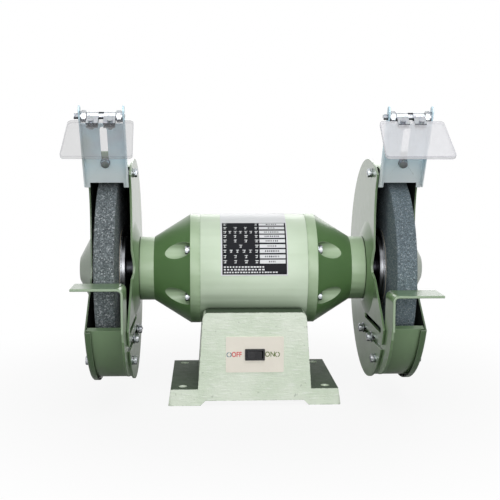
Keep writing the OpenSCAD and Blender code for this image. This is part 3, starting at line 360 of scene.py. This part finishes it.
def clearAcrylic(name, haze, tone):
    paint = Paint(name, IOR=1.49)
    scratches = paint.grain(1.0, 2, at=paint.stretched((40, 1600, 1600), (0.5, 0.2, 0.4)))
    marks = paint.step(scratches, 0.68, 0.78)
    smear = paint.grain(60, 4)
    rim = paint.edges(0.0016, 3.0)
    colour = paint.mix(smear * 0.5, (tone, tone, tone * 1.04, 1), (tone * 1.15, tone * 1.16, tone * 1.2, 1))
    colour = paint.mix(rim, colour, (0.26, 0.25, 0.33, 1))
    return paint.feed(
        Base_Color=colour,
        Alpha=paint.clamp(haze + smear * 0.06 + marks * 0.08 + rim * 0.42),
        Roughness=0.03 + marks * 0.15 + paint.step(smear, 0.55, 0.8) * 0.06,
        Normal=paint.bump(marks, 0.00004, 0.2))


def moulded(name, colour, roughness, bumpSize=900):
    paint = Paint(name, IOR=1.5)
    lighter = tuple(min(1.0, c * 1.25 + 0.01) for c in colour[:3]) + (1,)
    spread = paint.grain(80, 4)
    edge = paint.edges(0.0005, 1.6)
    tone = paint.mix(paint.clamp(spread * 0.35 + edge * 0.5), colour, lighter)
    return paint.feed(
        Base_Color=tone,
        Roughness=roughness + paint.grain(240, 3) * 0.14,
        Normal=paint.bump(paint.grain(bumpSize, 2), 0.00012, 0.3))


def laminatedSteel(name):
    paint = Paint(name, Metallic=0.9)
    sheets = paint.node("ShaderNodeTexWave", {"bands_direction": "X"},
                        {"Vector": paint.place, "Scale": 320.0, "Distortion": 0.2}, "Fac")
    cloud = paint.grain(60, 4)
    colour = paint.mix(cloud, (0.30, 0.31, 0.33, 1), (0.20, 0.19, 0.19, 1))
    return paint.feed(
        Base_Color=paint.mix(sheets * 0.4, colour, (0.12, 0.12, 0.13, 1)),
        Roughness=0.42 + cloud * 0.2,
        Normal=paint.bump(sheets, 0.0002, 0.6))


def copperWire(name):
    paint = Paint(name, Metallic=0.6)
    wires = paint.grain(1.0, 2, at=paint.stretched((300, 2600, 2600)))
    colour = paint.mix(wires, (0.60, 0.24, 0.08, 1), (0.80, 0.42, 0.16, 1))
    return paint.feed(
        Base_Color=colour,
        Roughness=0.28 + wires * 0.2,
        Normal=paint.bump(wires, 0.0005, 0.9))


def paperDisc(name):
    paint = Paint(name, Roughness=0.85)
    fibres = paint.grain(1500, 5)
    colour = paint.mix(fibres, (0.62, 0.54, 0.38, 1), (0.74, 0.67, 0.50, 1))
    return paint.feed(Base_Color=colour, Roughness=0.8 + fibres * 0.15,
                      Normal=paint.bump(fibres, 0.0002, 0.4))


def drawnAluminium(name):
    paint = Paint(name, Metallic=1.0)
    lines = paint.grain(1.0, 3, at=paint.stretched((2200, 40, 2200)))
    return paint.feed(
        Base_Color=paint.mix(lines, (0.80, 0.81, 0.82, 1), (0.68, 0.69, 0.71, 1)),
        Roughness=0.26 + lines * 0.2,
        Normal=paint.bump(lines, 0.0001, 0.3))


def printedFilm(name, colour, roughness=0.34, shine=0.5):
    paint = Paint(name, IOR=1.5)
    paint.shader.inputs["Specular IOR Level"].default_value = shine
    cloud = paint.grain(55, 4)
    rub = paint.step(paint.grain(500, 4), 0.62, 0.78)
    paler = tuple(c * 0.9 + 0.05 * shine for c in colour[:3]) + (1,)
    tone = paint.mix(paint.clamp(cloud * 0.3 + rub * 0.25), colour, paler)
    return paint.feed(
        Base_Color=tone,
        Roughness=roughness + cloud * 0.15 + rub * 0.15,
        Coat_Weight=cloud * shine * 0.3,
        Normal=paint.bump(paint.grain(700, 2), 0.00008, 0.25))


finish = {
    # the bodies are lit and shaded copies of one sage enamel: the shell and the bell painted paler as a
    # painted highlight, the cover painted darker as painted shade
    "enamel": sageEnamel("sage_enamel", {
        "body": shade(212, 228, 205), "cloud": shade(203, 221, 195), "edge": shade(214, 226, 205),
        "roughness": 0.38, "haze": 0.30, "coat": 0.45, "peel": 0.05, "edgeWearAndGlint": 0.55}),
    "bell": sageEnamel("bell_enamel", {
        "body": shade(172, 195, 161), "cloud": shade(163, 187, 151), "edge": shade(200, 214, 190),
        "cone": shade(88, 122, 74), "roughness": 0.38, "haze": 0.32, "peel": 0.05, "edgeWearAndGlint": 0.55}),
    "rest": sageEnamel("rest_enamel", {"body": shade(116, 144, 106), "cut": shade(146, 167, 139)}),
    "plate": sageEnamel("plate_enamel", {"body": shade(120, 146, 110)}, "plate"),
    "strip": sageEnamel("strip_enamel", {
        "body": shade(128, 156, 118), "cloud": shade(120, 148, 110), "underShade": shade(96, 121, 86)}, "strip"),
    "cover": sageEnamel("cover_enamel", {
        "body": shade(82, 108, 74), "cloud": shade(75, 101, 67)}, "cover"),
    "cast": castIronPaint("cast_iron_paint", castPaint),
    "zinc": zincPlate("zinc_plate", zincPaint),
    "sheetLeft": zincSheet("zinc_sheet_left", 0.55, sheetPaint),
    "sheetRight": zincSheet("zinc_sheet_right", 0.12, sheetPaint),
    "steel": turnedSteel("turned_steel"),
    "flange": turnedSteel("flange_steel", True),
    "stoneLeft": abrasiveGrain("abrasive_coarse", 820, dark=(0.065, 0.078, 0.084, 1),
                               light=(0.26, 0.30, 0.315, 1), spark=(0.44, 0.47, 0.49, 1)),
    "stoneRight": abrasiveGrain("abrasive_fine", 1150, dark=(0.092, 0.121, 0.137, 1),
                                light=(0.26, 0.33, 0.37, 1), spark=(0.40, 0.46, 0.50, 1)),
    "acrylicLeft": clearAcrylic("clear_acrylic_left", 0.22, 0.40),
    "acrylicRight": clearAcrylic("clear_acrylic_right", 0.52, 0.86),
    "black": moulded("black_plastic", (0.012, 0.012, 0.014, 1), 0.28),
    "cream": moulded("cream_plate", shade(232, 226, 214), 0.32, 500),
    "white": moulded("white_plastic", shade(226, 226, 218), 0.4),
    "core": laminatedSteel("core_steel"),
    "copper": copperWire("copper_winding"),
    "paper": paperDisc("blotter_paper"),
    "can": drawnAluminium("can_aluminium"),
    "labelWhite": printedFilm("label_white", shade(222, 224, 226)),
    "labelBlack": printedFilm("label_black", shade(14, 15, 22), 0.5, 0.15),
    "inkRed": printedFilm("ink_red", shade(214, 62, 66)),
    "inkGreen": printedFilm("ink_green", shade(92, 112, 44)),
    "inkTeal": printedFilm("ink_teal", shade(54, 116, 132)),
}
print("finishes made:", len(finish))


def dress(names, look):
    for name in names:
        data = cad[name].data
        data.materials.clear()
        data.materials.append(finish[look])


rounding = {"angle": 32, "merge": 0.00002}


def roundEdges(names, width, segments=2, even=False):
    for name in names:
        node = cad[name]
        weld = node.modifiers.new("weld", "WELD")
        weld.merge_threshold = rounding["merge"]
        bevel = node.modifiers.new("edges", "BEVEL")
        bevel.width = width
        bevel.segments = segments
        bevel.limit_method = "ANGLE"
        bevel.angle_limit = math.radians(rounding["angle"])
        bevel.use_clamp_overlap = True
        bevel.harden_normals = not even
        if even:
            bevel.face_strength_mode = "FSTR_ALL"
            weigh = node.modifiers.new("even_normals", "WEIGHTED_NORMAL")
            weigh.mode = "CORNER_ANGLE"
            weigh.weight = 50
            weigh.use_face_influence = True


sides = ("left", "right")


def both(*names):
    return [name + "_" + side for name in names for side in sides]


dress(["base"], "cast")
dress(["stator_shell"], "enamel")
dress(both("end_shield"), "bell")
dress(both("guard_plate"), "plate")
dress(both("guard_strip"), "strip")
dress(both("guard_cover"), "cover")
dress(both("tool_rest"), "rest")
dress(["base_cover_screws", "saddle_bolts", "end_shield_bolts", "guard_mount_screws"], "zinc")
dress(["deflector_bolts", "capacitor_clip"] + both("guard_screws", "rest_bolts", "spindle_nut"), "zinc")
dress(both("shield_rod", "shield_clamp", "shield_screws"), "zinc")
dress(["base_cover"], "sheetRight")
dress(["deflector_left"], "sheetLeft")
dress(["deflector_right"], "sheetRight")
dress(["eye_shield_left"], "acrylicLeft")
dress(["eye_shield_right"], "acrylicRight")
dress(["shaft", "bearing_outer_rings", "bearing_balls", "bearing_inner_rings", "wave_washer"], "steel")
dress(both("inner_flange", "outer_flange"), "flange")
dress(["stator_core", "rotor"], "core")
dress(["windings"], "copper")
dress(["wheel_left"], "stoneLeft")
dress(["wheel_right"], "stoneRight")
dress(["wheel_blotters"], "paper")
dress(["switch_plate"], "cream")
dress(["switch_body", "rocker", "cable_gland"], "black")
dress(["data_plate"], "labelWhite")
dress(["capacitor"], "can")
dress(["terminal_block"], "white")

roundEdges(["base"], 1.6 * mm, 3)
roundEdges(["stator_shell"] + both("end_shield"), 0.5 * mm)
roundEdges(both("guard_plate", "guard_cover", "tool_rest"), 0.45 * mm)
roundEdges(both("deflector"), 0.35 * mm, even=True)
roundEdges(both("eye_shield"), 0.4 * mm)
roundEdges(["switch_plate", "switch_body", "rocker"], 0.25 * mm)
print("frame dressed")


def alongX(x, y, z, direction=(1, 0, 0)):  # a frame whose X axis points along direction
    across = Vector(direction).normalized()
    side = Vector((0, 0, 1)).cross(across)
    side = side.normalized() if side.length > 0.01 else Vector((0, 1, 0))
    up = across.cross(side)
    return Matrix.Translation((x, y, z)) @ Matrix((across, side, up)).transposed().to_4x4()


def turn(build, profile, place, segments=32, flats=None, lead=0.0):
    # profile of (radius, place along X) in mm turned about X; flats gives a hexagon's half width
    rings = []
    low, high = profile[0][1], profile[-1][1]
    for radius, along in profile:
        ring = []
        for i in range(segments):
            angle = math.tau * i / segments
            r = radius
            if flats:
                r = min(radius, flats / math.cos((angle + math.pi / 6) % (math.pi / 3) - math.pi / 6))
            x = min(max(along + lead * i / segments, min(low, high)), max(low, high))
            point = Vector((x, r * math.cos(angle), r * math.sin(angle))) * mm
            ring.append(build.verts.new(place @ point))
        rings.append(ring)
    for near, far in zip(rings, rings[1:]):
        for i in range(segments):
            j = (i + 1) % segments
            build.faces.new((near[i], near[j], far[j], far[i]))
    build.faces.new(rings[0][::-1])
    build.faces.new(rings[-1])


def hexBlock(build, flats, x0, x1, place, chamfer=0.6):
    r = flats / 2
    tip = r / math.cos(math.pi / 6)
    turn(build, [(r - 0.2, x0), (r + 0.05, x0 + 0.05), (tip, x0 + chamfer), (tip, x1 - chamfer),
                 (r + 0.05, x1 - 0.05), (r - 0.2, x1)], place, 48, flats=r)


def washer(build, radius, x0, x1, place):
    edge = min(0.25, (x1 - x0) / 3)
    profile = [(radius - edge, x0), (radius, x0 + edge), (radius, x1 - edge), (radius - edge, x1)]
    turn(build, profile, place, 40)


def thread(build, radius, x0, x1, place):
    pitch = 0.8
    crest, groove = radius - 0.08, radius - 0.42
    profile = [(radius - 0.5, x0), (radius - 0.1, x0 + 0.4)]
    x = x0 + 0.4
    while x + pitch < x1 - 0.4:
        profile += [(crest, x + pitch * 0.15), (groove, x + pitch * 0.5), (crest, x + pitch * 0.85)]
        x += pitch
    profile += [(radius - 0.1, x1 - 0.4), (radius - 0.5, x1)]
    turn(build, profile, place, 24, lead=pitch)


def piece(name, build, looks, body, smoothAngle=40, replaced=()):
    bmesh.ops.recalc_face_normals(build, faces=build.faces)
    limit = math.radians(smoothAngle)
    for edge in build.edges:
        edge.smooth = edge.is_manifold and edge.calc_face_angle(0) < limit
    for face in build.faces:
        face.smooth = True
    data = bpy.data.meshes.new(name)
    build.to_mesh(data)
    build.free()
    for look in looks:
        data.materials.append(finish[look])
    made = bpy.data.objects.new(name, data)
    bpy.context.scene.collection.objects.link(made)
    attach(made, body)
    if replaced:
        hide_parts(*replaced)


def mirrored(build, side):
    if side == "left":
        bmesh.ops.scale(build, vec=(-1, 1, 1), verts=build.verts)


wheel = {
    "radius": 100.0,
    "bore": 16.0,
    "flange": 44.0,
    "flat": 60.0,
    "inner": 137.2,
    "outer": 157.2,
    "edge": 1.2,
    "grain": {"left": 0.16, "right": 0.09},
    "around": 520,
}


def wheelProfile():
    radius, edge, flat = wheel["radius"], wheel["edge"], wheel["flat"]
    inner, outer = wheel["inner"], wheel["outer"]
    side = radius - edge - flat
    span = outer - inner - 2 * edge
    points = [(wheel["bore"] + 0.1, inner), (30, inner), (wheel["flange"], inner), (flat, inner)]
    points += [(flat + side * i / 26, inner) for i in range(1, 27)]
    points += [(radius - edge * 0.3, inner + edge * 0.3)]
    points += [(radius, inner + edge + span * i / 14) for i in range(15)]
    points += [(radius - edge * 0.3, outer - edge * 0.3)]
    points += [(radius - edge - side * i / 26, outer) for i in range(27)]
    points += [(wheel["flange"], outer), (30, outer), (wheel["bore"] + 0.1, outer)]
    return points


def makeWheel(side):
    build = bmesh.new()
    middle = (wheel["inner"] + wheel["outer"]) / 2
    rough = wheel["grain"][side]
    tread = wheel["radius"] - 2
    count = wheel["around"]
    rings = []
    for radius, along in wheelProfile():
        ring = []
        for i in range(count):
            angle = math.tau * i / count
            point = Vector((along, radius * math.cos(angle), radius * math.sin(angle)))
            if radius > wheel["flange"]:
                lump = noise.noise(point * 1.1) + 0.6 * noise.noise(point * 0.45)
                away = Vector((0, math.cos(angle), math.sin(angle)))
                push = min(0.0, lump * rough * 2 - 0.05)
                point += away * push if radius > tread else Vector(((middle - along) / 10 * -push, 0, 0))
            point = point * mm
            ring.append(build.verts.new((point.x, point.y, point.z + axisHeight)))
        rings.append(ring)
    for near, far in zip(rings, rings[1:] + rings[:1]):
        for i in range(count):
            j = (i + 1) % count
            build.faces.new((near[i], near[j], far[j], far[i]))
    mirrored(build, side)
    look = "stoneLeft" if side == "left" else "stoneRight"
    piece("stone_" + side, build, [look], "spindle", 60, ["wheel_" + side])


for side in sides:
    makeWheel(side)
print("wheels made")


station = {
    "plateOut": 123.3,
    "plateIn": 125.3,
    "coverIn": 164.4,
    "coverOut": 165.9,
    "tab": 1.5,
    "rimEnd": 65.5,
    "deflectorMid": 147.25,
}
screw = {  # the M5 fasteners
    "shank": 2.5,
    "washer": 4.8,
    "thick": 1.0,
    "flats": 8.0,
    "head": 3.5,
}
bolts = {
    "fixRadius": 105.0,
    "fixAngles": (76, -55, 190),
    "restPlaces": ((-39.0, -68.0), (14.0, -68.0)),
    "restDome": ((4.4, 128.0), (5.0, 128.5), (5.0, 129.4), (4.2, 130.1), (2.2, 130.4)),
    "shieldBoltRadius": 51.0,
    "shieldBoltAngle": 28.0,
}


def headOnWasher(build, face, way, place, chamfer=0.6):  # stands on face, outward by way
    top = face + way * screw["thick"]
    washer(build, screw["washer"], min(face, top), max(face, top), place)
    end = top + way * screw["head"]
    hexBlock(build, screw["flats"], min(top, end), max(top, end), place, chamfer)


def guardScrews(side):
    build = bmesh.new()
    for angle in bolts["fixAngles"]:
        a = math.radians(angle)
        reach = bolts["fixRadius"] * mm
        place = alongX(0, -reach * math.cos(a), axisHeight + reach * math.sin(a))
        thread(build, screw["shank"], station["plateOut"] - 5.3, station["plateIn"] + 2.5, place)
        headOnWasher(build, station["plateOut"], -1, place)
        behindTab = station["plateIn"] + station["tab"]
        hexBlock(build, screw["flats"], behindTab, behindTab + screw["head"], place)
        thread(build, screw["shank"], station["coverIn"] - 7, station["coverOut"] + 1, place)
        headOnWasher(build, station["coverOut"], 1, place)
        behindTab = station["coverIn"] - station["tab"]
        hexBlock(build, screw["flats"], behindTab - screw["head"], behindTab, place)
    mirrored(build, side)
    piece("guard_fixings_" + side, build, ["zinc"], "root", 35, ["guard_screws_" + side])


def restBolts(side):
    build = bmesh.new()
    for y, z in bolts["restPlaces"]:
        place = alongX(0, y * mm, axisHeight + z * mm)
        thread(build, screw["shank"], station["plateOut"] - 5.8, 129.0, place)
        turn(build, bolts["restDome"], place)
        washer(build, 5.5, station["plateOut"] - 1.05, station["plateOut"] - 0.05, place)
        hexBlock(build, screw["flats"], station["plateOut"] - 5.05, station["plateOut"] - 1.05, place)
    mirrored(build, side)
    piece("rest_fixings_" + side, build, ["zinc"], "tool_rest_" + side, 35,
          ["rest_bolts_" + side])


def endShieldBolts():
    build = bmesh.new()
    for direction in (-1, 1):
        for sideways in (-1, 1):
            for upward in (-1, 1):
                a = math.radians(bolts["shieldBoltAngle"])
                y = sideways * bolts["shieldBoltRadius"] * math.cos(a) * mm
                z = upward * bolts["shieldBoltRadius"] * math.sin(a) * mm
                place = alongX(0, y, axisHeight + z, (direction, 0, 0))
                x = station["rimEnd"]
                turn(build, [(screw["shank"], x - 21), (screw["shank"], x + 2)], place, 20)
                headOnWasher(build, x, 1, place)
    piece("end_shield_fixings", build, ["zinc"], "root", 35, ["end_shield_bolts"])


for side in sides:
    guardScrews(side)
    restBolts(side)
endShieldBolts()
print("fasteners made")


deflector = {
    "angle": 60.0,
    "boltAt": 131.5,
    "rodAt": 184.2,
    "rodBehind": -5.0,
    "rod": 3.0,
    "width": 43.1,
    "sheet": 1.5,
}


def deflectorPlace(x, behind, out):  # a point in the deflector's own frame, in mm
    a = math.radians(90 - deflector["angle"])
    y = behind * math.cos(a) - out * math.sin(a)
    z = behind * math.sin(a) + out * math.cos(a)
    return Vector((x, y, z)) * mm + Vector((0, 0, axisHeight))


def deflectorBolts():
    build = bmesh.new()
    a = math.radians(90 - deflector["angle"])
    forward = (0, -math.cos(a), -math.sin(a))
    for direction in (-1, 1):
        centre = deflectorPlace(direction * station["deflectorMid"], 0, deflector["boltAt"])
        place = alongX(*centre, forward)
        thread(build, screw["shank"], -8.3, 2, place)
        hexBlock(build, screw["flats"], -6.3, -2.3, place)
        headOnWasher(build, deflector["sheet"] + 0.05, 1, place, 0.9)
    piece("deflector_fixings", build, ["zinc"], "root", 35, ["deflector_bolts"])


def shieldRod(side):
    build = bmesh.new()
    centre = deflectorPlace(0, deflector["rodBehind"], deflector["rodAt"])
    place = alongX(0, centre.y, centre.z)
    radius = deflector["rod"]
    x0 = station["deflectorMid"] - deflector["width"] / 2
    x1 = station["deflectorMid"] + deflector["width"] / 2
    inner, outer = (0.5, 4.5) if side == "left" else (4.5, 0.5)
    thread(build, radius, x0 - inner, x0 + 9, place)
    turn(build, [(radius - 0.05, x0 + 8), (radius - 0.05, x1 - 8)], place, 28)
    thread(build, radius, x1 - 9, x1 + outer, place)
    for end, away in ((x0 + deflector["sheet"], 1), (x1 - deflector["sheet"], -1)):
        low, high = sorted((end + 0.05 * away, end + away))
        washer(build, 5.5, low, high, place)
        low, high = sorted((end + away, end + 6 * away))
        hexBlock(build, 10, low, high, place)
    mirrored(build, side)
    piece("hinge_rod_" + side, build, ["zinc"], "deflector_" + side, 35,
          ["shield_rod_" + side])


deflectorBolts()
for side in sides:
    shieldRod(side)
print("deflector hardware made")


label = {
    "radius": 57.9,
    "black": (-32.4, 33.0, 0.2, 60.0),
    "lift": 0.03,
    "column": 5.6,
    "cellEnd": 31.6,
    "halfRow": 1.95,
    "tickMiddle": 18.6,
    "tickPitch": 1.9,
    "rows": (57.4, 51.7, 46.0, 40.6, 35.1, 29.3, 23.9, 18.3, 13.1),
    "marks": (2, 4, 7, 4, 4, 3, 6, 4, 4),
    "lines": ((7.8, 42, 14), (5.1, 42, 12), (2.4, 55, 20)),
}


def curvedPatch(build, x0, x1, low, high, lift, index):
    # a thin patch on the motor shell, between two elevations in degrees
    steps = max(2, int((high - low) / 2))
    radius = (label["radius"] + lift) * mm
    rows = []
    for i in range(steps + 1):
        a = math.radians(low + (high - low) * i / steps)
        y, z = -radius * math.cos(a), axisHeight + radius * math.sin(a)
        rows.append((build.verts.new((x0 * mm, y, z)), build.verts.new((x1 * mm, y, z))))
    for near, far in zip(rows, rows[1:]):
        face = build.faces.new((near[0], near[1], far[1], far[0]))
        face.material_index = index


def makeLabel():
    build = bmesh.new()
    lift, half = label["lift"], label["halfRow"]
    x0, x1, low, high = label["black"]
    black, white = 0, 1
    curvedPatch(build, x0, x1, low, high, lift, black)
    for row, count in zip(label["rows"], label["marks"]):
        curvedPatch(build, label["column"], label["cellEnd"], row - half, row + half, lift * 2, white)
        ticks = random.randint(4, 8)
        for k in range(ticks):
            left = label["tickMiddle"] + (k - ticks / 2) * label["tickPitch"]
            curvedPatch(build, left, left + random.uniform(0.6, 1.2), row - 0.8, row + 0.8, lift * 3, black)
        start, end = x0 + 1.2, label["column"] - 4.6
        for k in range(count):
            left = start + (end - start) * k / (count - 1)
            wide = random.uniform(2.6, 3.6)
            tall = random.uniform(0.5, 0.9)
            curvedPatch(build, left, left + wide, row + 1.4 - tall, row + 1.4, lift * 2, white)
            curvedPatch(build, left + 0.3, left + wide * 0.8, row - 1.5, row - 1.5 + tall, lift * 2, white)
            middle = left + wide * random.uniform(0.3, 0.6)
            curvedPatch(build, middle, middle + 0.6, row - 1.4, row + 1.2, lift * 2, white)
    for row, length, count in label["lines"]:
        for k in range(count):
            left = x0 + 1.5 + length * k / count
            curvedPatch(build, left, left + length / count * random.uniform(0.5, 0.8), row - 0.7, row + 0.7,
                        lift * 2, white)
    piece("data_plate_print", build, ["labelBlack", "labelWhite"], "root", 60)


makeLabel()
print("data plate printed")


switch = {
    "front": -69.5,
    "height": 52.5,
    "letters": 7.2,
    "ringRadius": 2.6,
    "ringBand": 0.8,
    "ringSweep": 160,
    "inkDepth": 0.04,
    "bolder": 0.13,
}


def lettering(name, text, x, look, squeeze=0.8):
    curve = bpy.data.curves.new(name, "FONT")
    curve.body = text
    curve.align_x = "CENTER"
    curve.align_y = "CENTER"
    curve.size = switch["letters"] * mm
    curve.extrude = switch["inkDepth"] * mm
    curve.offset = switch["bolder"] * mm
    holder = bpy.data.objects.new(name + "_curve", curve)
    bpy.context.scene.collection.objects.link(holder)
    bpy.context.view_layer.update()
    data = bpy.data.meshes.new_from_object(holder)
    bpy.data.objects.remove(holder)
    front = Matrix.Translation((x * mm, (switch["front"] - switch["inkDepth"]) * mm, switch["height"] * mm))
    data.transform(front @ Matrix.Rotation(math.pi / 2, 4, "X") @ Matrix.Diagonal((squeeze, 1, 1, 1)))
    data.materials.clear()
    data.materials.append(finish[look])
    made = bpy.data.objects.new(name, data)
    bpy.context.scene.collection.objects.link(made)
    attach(made, "root")


def printedRing(name, x, look):
    build = bmesh.new()
    outer = switch["ringRadius"] * mm
    inner = (switch["ringRadius"] - switch["ringBand"]) * mm
    y = (switch["front"] - 0.05) * mm
    steps = 16
    for start in (math.radians(100), math.radians(-80)):  # two arcs, open above and below
        previous = None
        for i in range(steps + 1):
            a = start + math.radians(switch["ringSweep"]) * i / steps
            pair = [build.verts.new((x * mm + r * math.cos(a), y, switch["height"] * mm + r * math.sin(a)))
                    for r in (inner, outer)]
            if previous:
                build.faces.new((previous[0], previous[1], pair[1], pair[0]))
            previous = pair
    piece(name, build, [look], "root")


lettering("off_word", "OFF", -18.4, "inkRed")
lettering("on_word", "ON", 15.2, "inkGreen", 0.9)
printedRing("ring_off", -26.0, "inkTeal")
printedRing("ring_on", 22.6, "inkGreen")
print("switch printed")


camera = {
    "place": (-0.0504, -1.0335, 0.2598),
    "down": 6.0,
    "toRight": 2.69,
    "roll": 0.086,
    "lens": 70.2,
}


def makeCamera(look):
    data = bpy.data.cameras.new("camera")
    data.lens = look["lens"]
    data.sensor_width = 36
    data.clip_start = 0.01
    rig = bpy.data.objects.new("camera", data)
    bpy.context.scene.collection.objects.link(rig)
    rig.location = look["place"]
    swing = Matrix.Rotation(math.radians(-look["toRight"]), 4, "Z")
    tilt = Matrix.Rotation(math.radians(90 - look["down"]), 4, "X")
    roll = Matrix.Rotation(math.radians(look["roll"]), 4, "Z")
    rig.rotation_euler = (swing @ tilt @ roll).to_euler()
    bpy.context.scene.camera = rig


makeCamera(camera)


def softBox(name, place, target, width, height, power):
    data = bpy.data.lights.new(name, "AREA")
    data.shape = "RECTANGLE"
    data.size = width
    data.size_y = height
    data.energy = power
    lamp = bpy.data.objects.new(name, data)
    bpy.context.scene.collection.objects.link(lamp)
    lamp.location = place
    lamp.rotation_euler = (Vector(target) - Vector(place)).to_track_quat("-Z", "Y").to_euler()


softBox("key_box", (0.05, -2.0, 0.55), (0, 0, 0.15), 2.0, 1.0, 21)
softBox("top_box", (0.05, -0.75, 1.55), (0, 0, 0.13), 1.7, 0.8, 10)
softBox("back_box", (0.2, 1.5, 0.9), (0, 0, 0.15), 1.2, 0.8, 6)


def studioWorld(strength):  # white where the camera or a reflection looks, softer as light
    world = bpy.data.worlds.new("studio")
    bpy.context.scene.world = world
    world.use_nodes = True
    world.node_tree.nodes.clear()
    sky = Shading(world.node_tree)
    white = sky.node("ShaderNodeBackground", None, {"Color": (1, 1, 1, 1), "Strength": 1.0})
    soft = sky.node("ShaderNodeBackground", None, {"Color": (1, 1, 1, 1), "Strength": strength})
    seen = sky.node("ShaderNodeLightPath", output="Is Camera Ray")
    for ray in ("Is Glossy Ray", "Is Transmission Ray"):
        seen = sky.maths("MAXIMUM", seen, sky.node("ShaderNodeLightPath", output=ray))
    out = sky.tree.nodes.new("ShaderNodeOutputWorld")
    sky.join(out.inputs["Surface"], sky.node("ShaderNodeMixShader", None, {0: seen, 1: soft, 2: white}))


studioWorld(0.22)


floorSheet = {
    "size": 6,
    "drop": 0.0002,
    "shadow": (0.14, 0.46),
    "mirror": (0.42, 0.90),
    "grey": (0.50, 0.50, 0.50, 1),
    "cloud": (0.46, 0.46, 0.46, 1),
}


def makeFloor(look):  # takes a shadow near the object, plain white further out
    paint = Paint("floor_white", Roughness=0.6)
    paint.shader.inputs["Specular IOR Level"].default_value = 0.1
    paint.feed(Base_Color=paint.mix(paint.grain(3, 2) * 0.2, look["grey"], look["cloud"]))
    away = paint.vector("LENGTH", paint.place, output="Value")
    mirror = paint.node("ShaderNodeLightPath", output="Is Glossy Ray") * paint.step(away, *look["mirror"])
    shadow = 0.90 + paint.step(away, *look["shadow"]) * 0.10
    clear = paint.node("ShaderNodeLightPath", output="Is Camera Ray") * shadow
    glow = paint.node("ShaderNodeEmission", None, {"Color": (1, 1, 1, 1), "Strength": 1.0})
    surface = Tap(paint, paint.shader.outputs[0])
    mixed = paint.node("ShaderNodeMixShader", None,
                       {0: paint.maths("MAXIMUM", clear, mirror), 1: surface, 2: glow})
    paint.join(paint.tree.nodes["Material Output"].inputs["Surface"], mixed)
    build = bmesh.new()
    bmesh.ops.create_grid(build, x_segments=8, y_segments=8, size=look["size"])
    data = bpy.data.meshes.new("floor")
    build.to_mesh(data)
    build.free()
    data.materials.append(paint.material)
    floor = bpy.data.objects.new("floor", data)
    bpy.context.scene.collection.objects.link(floor)
    floor.location = (0, 0, -look["drop"])


makeFloor(floorSheet)
bpy.context.scene.view_settings.view_transform = "Standard"
print("camera, light and floor set")
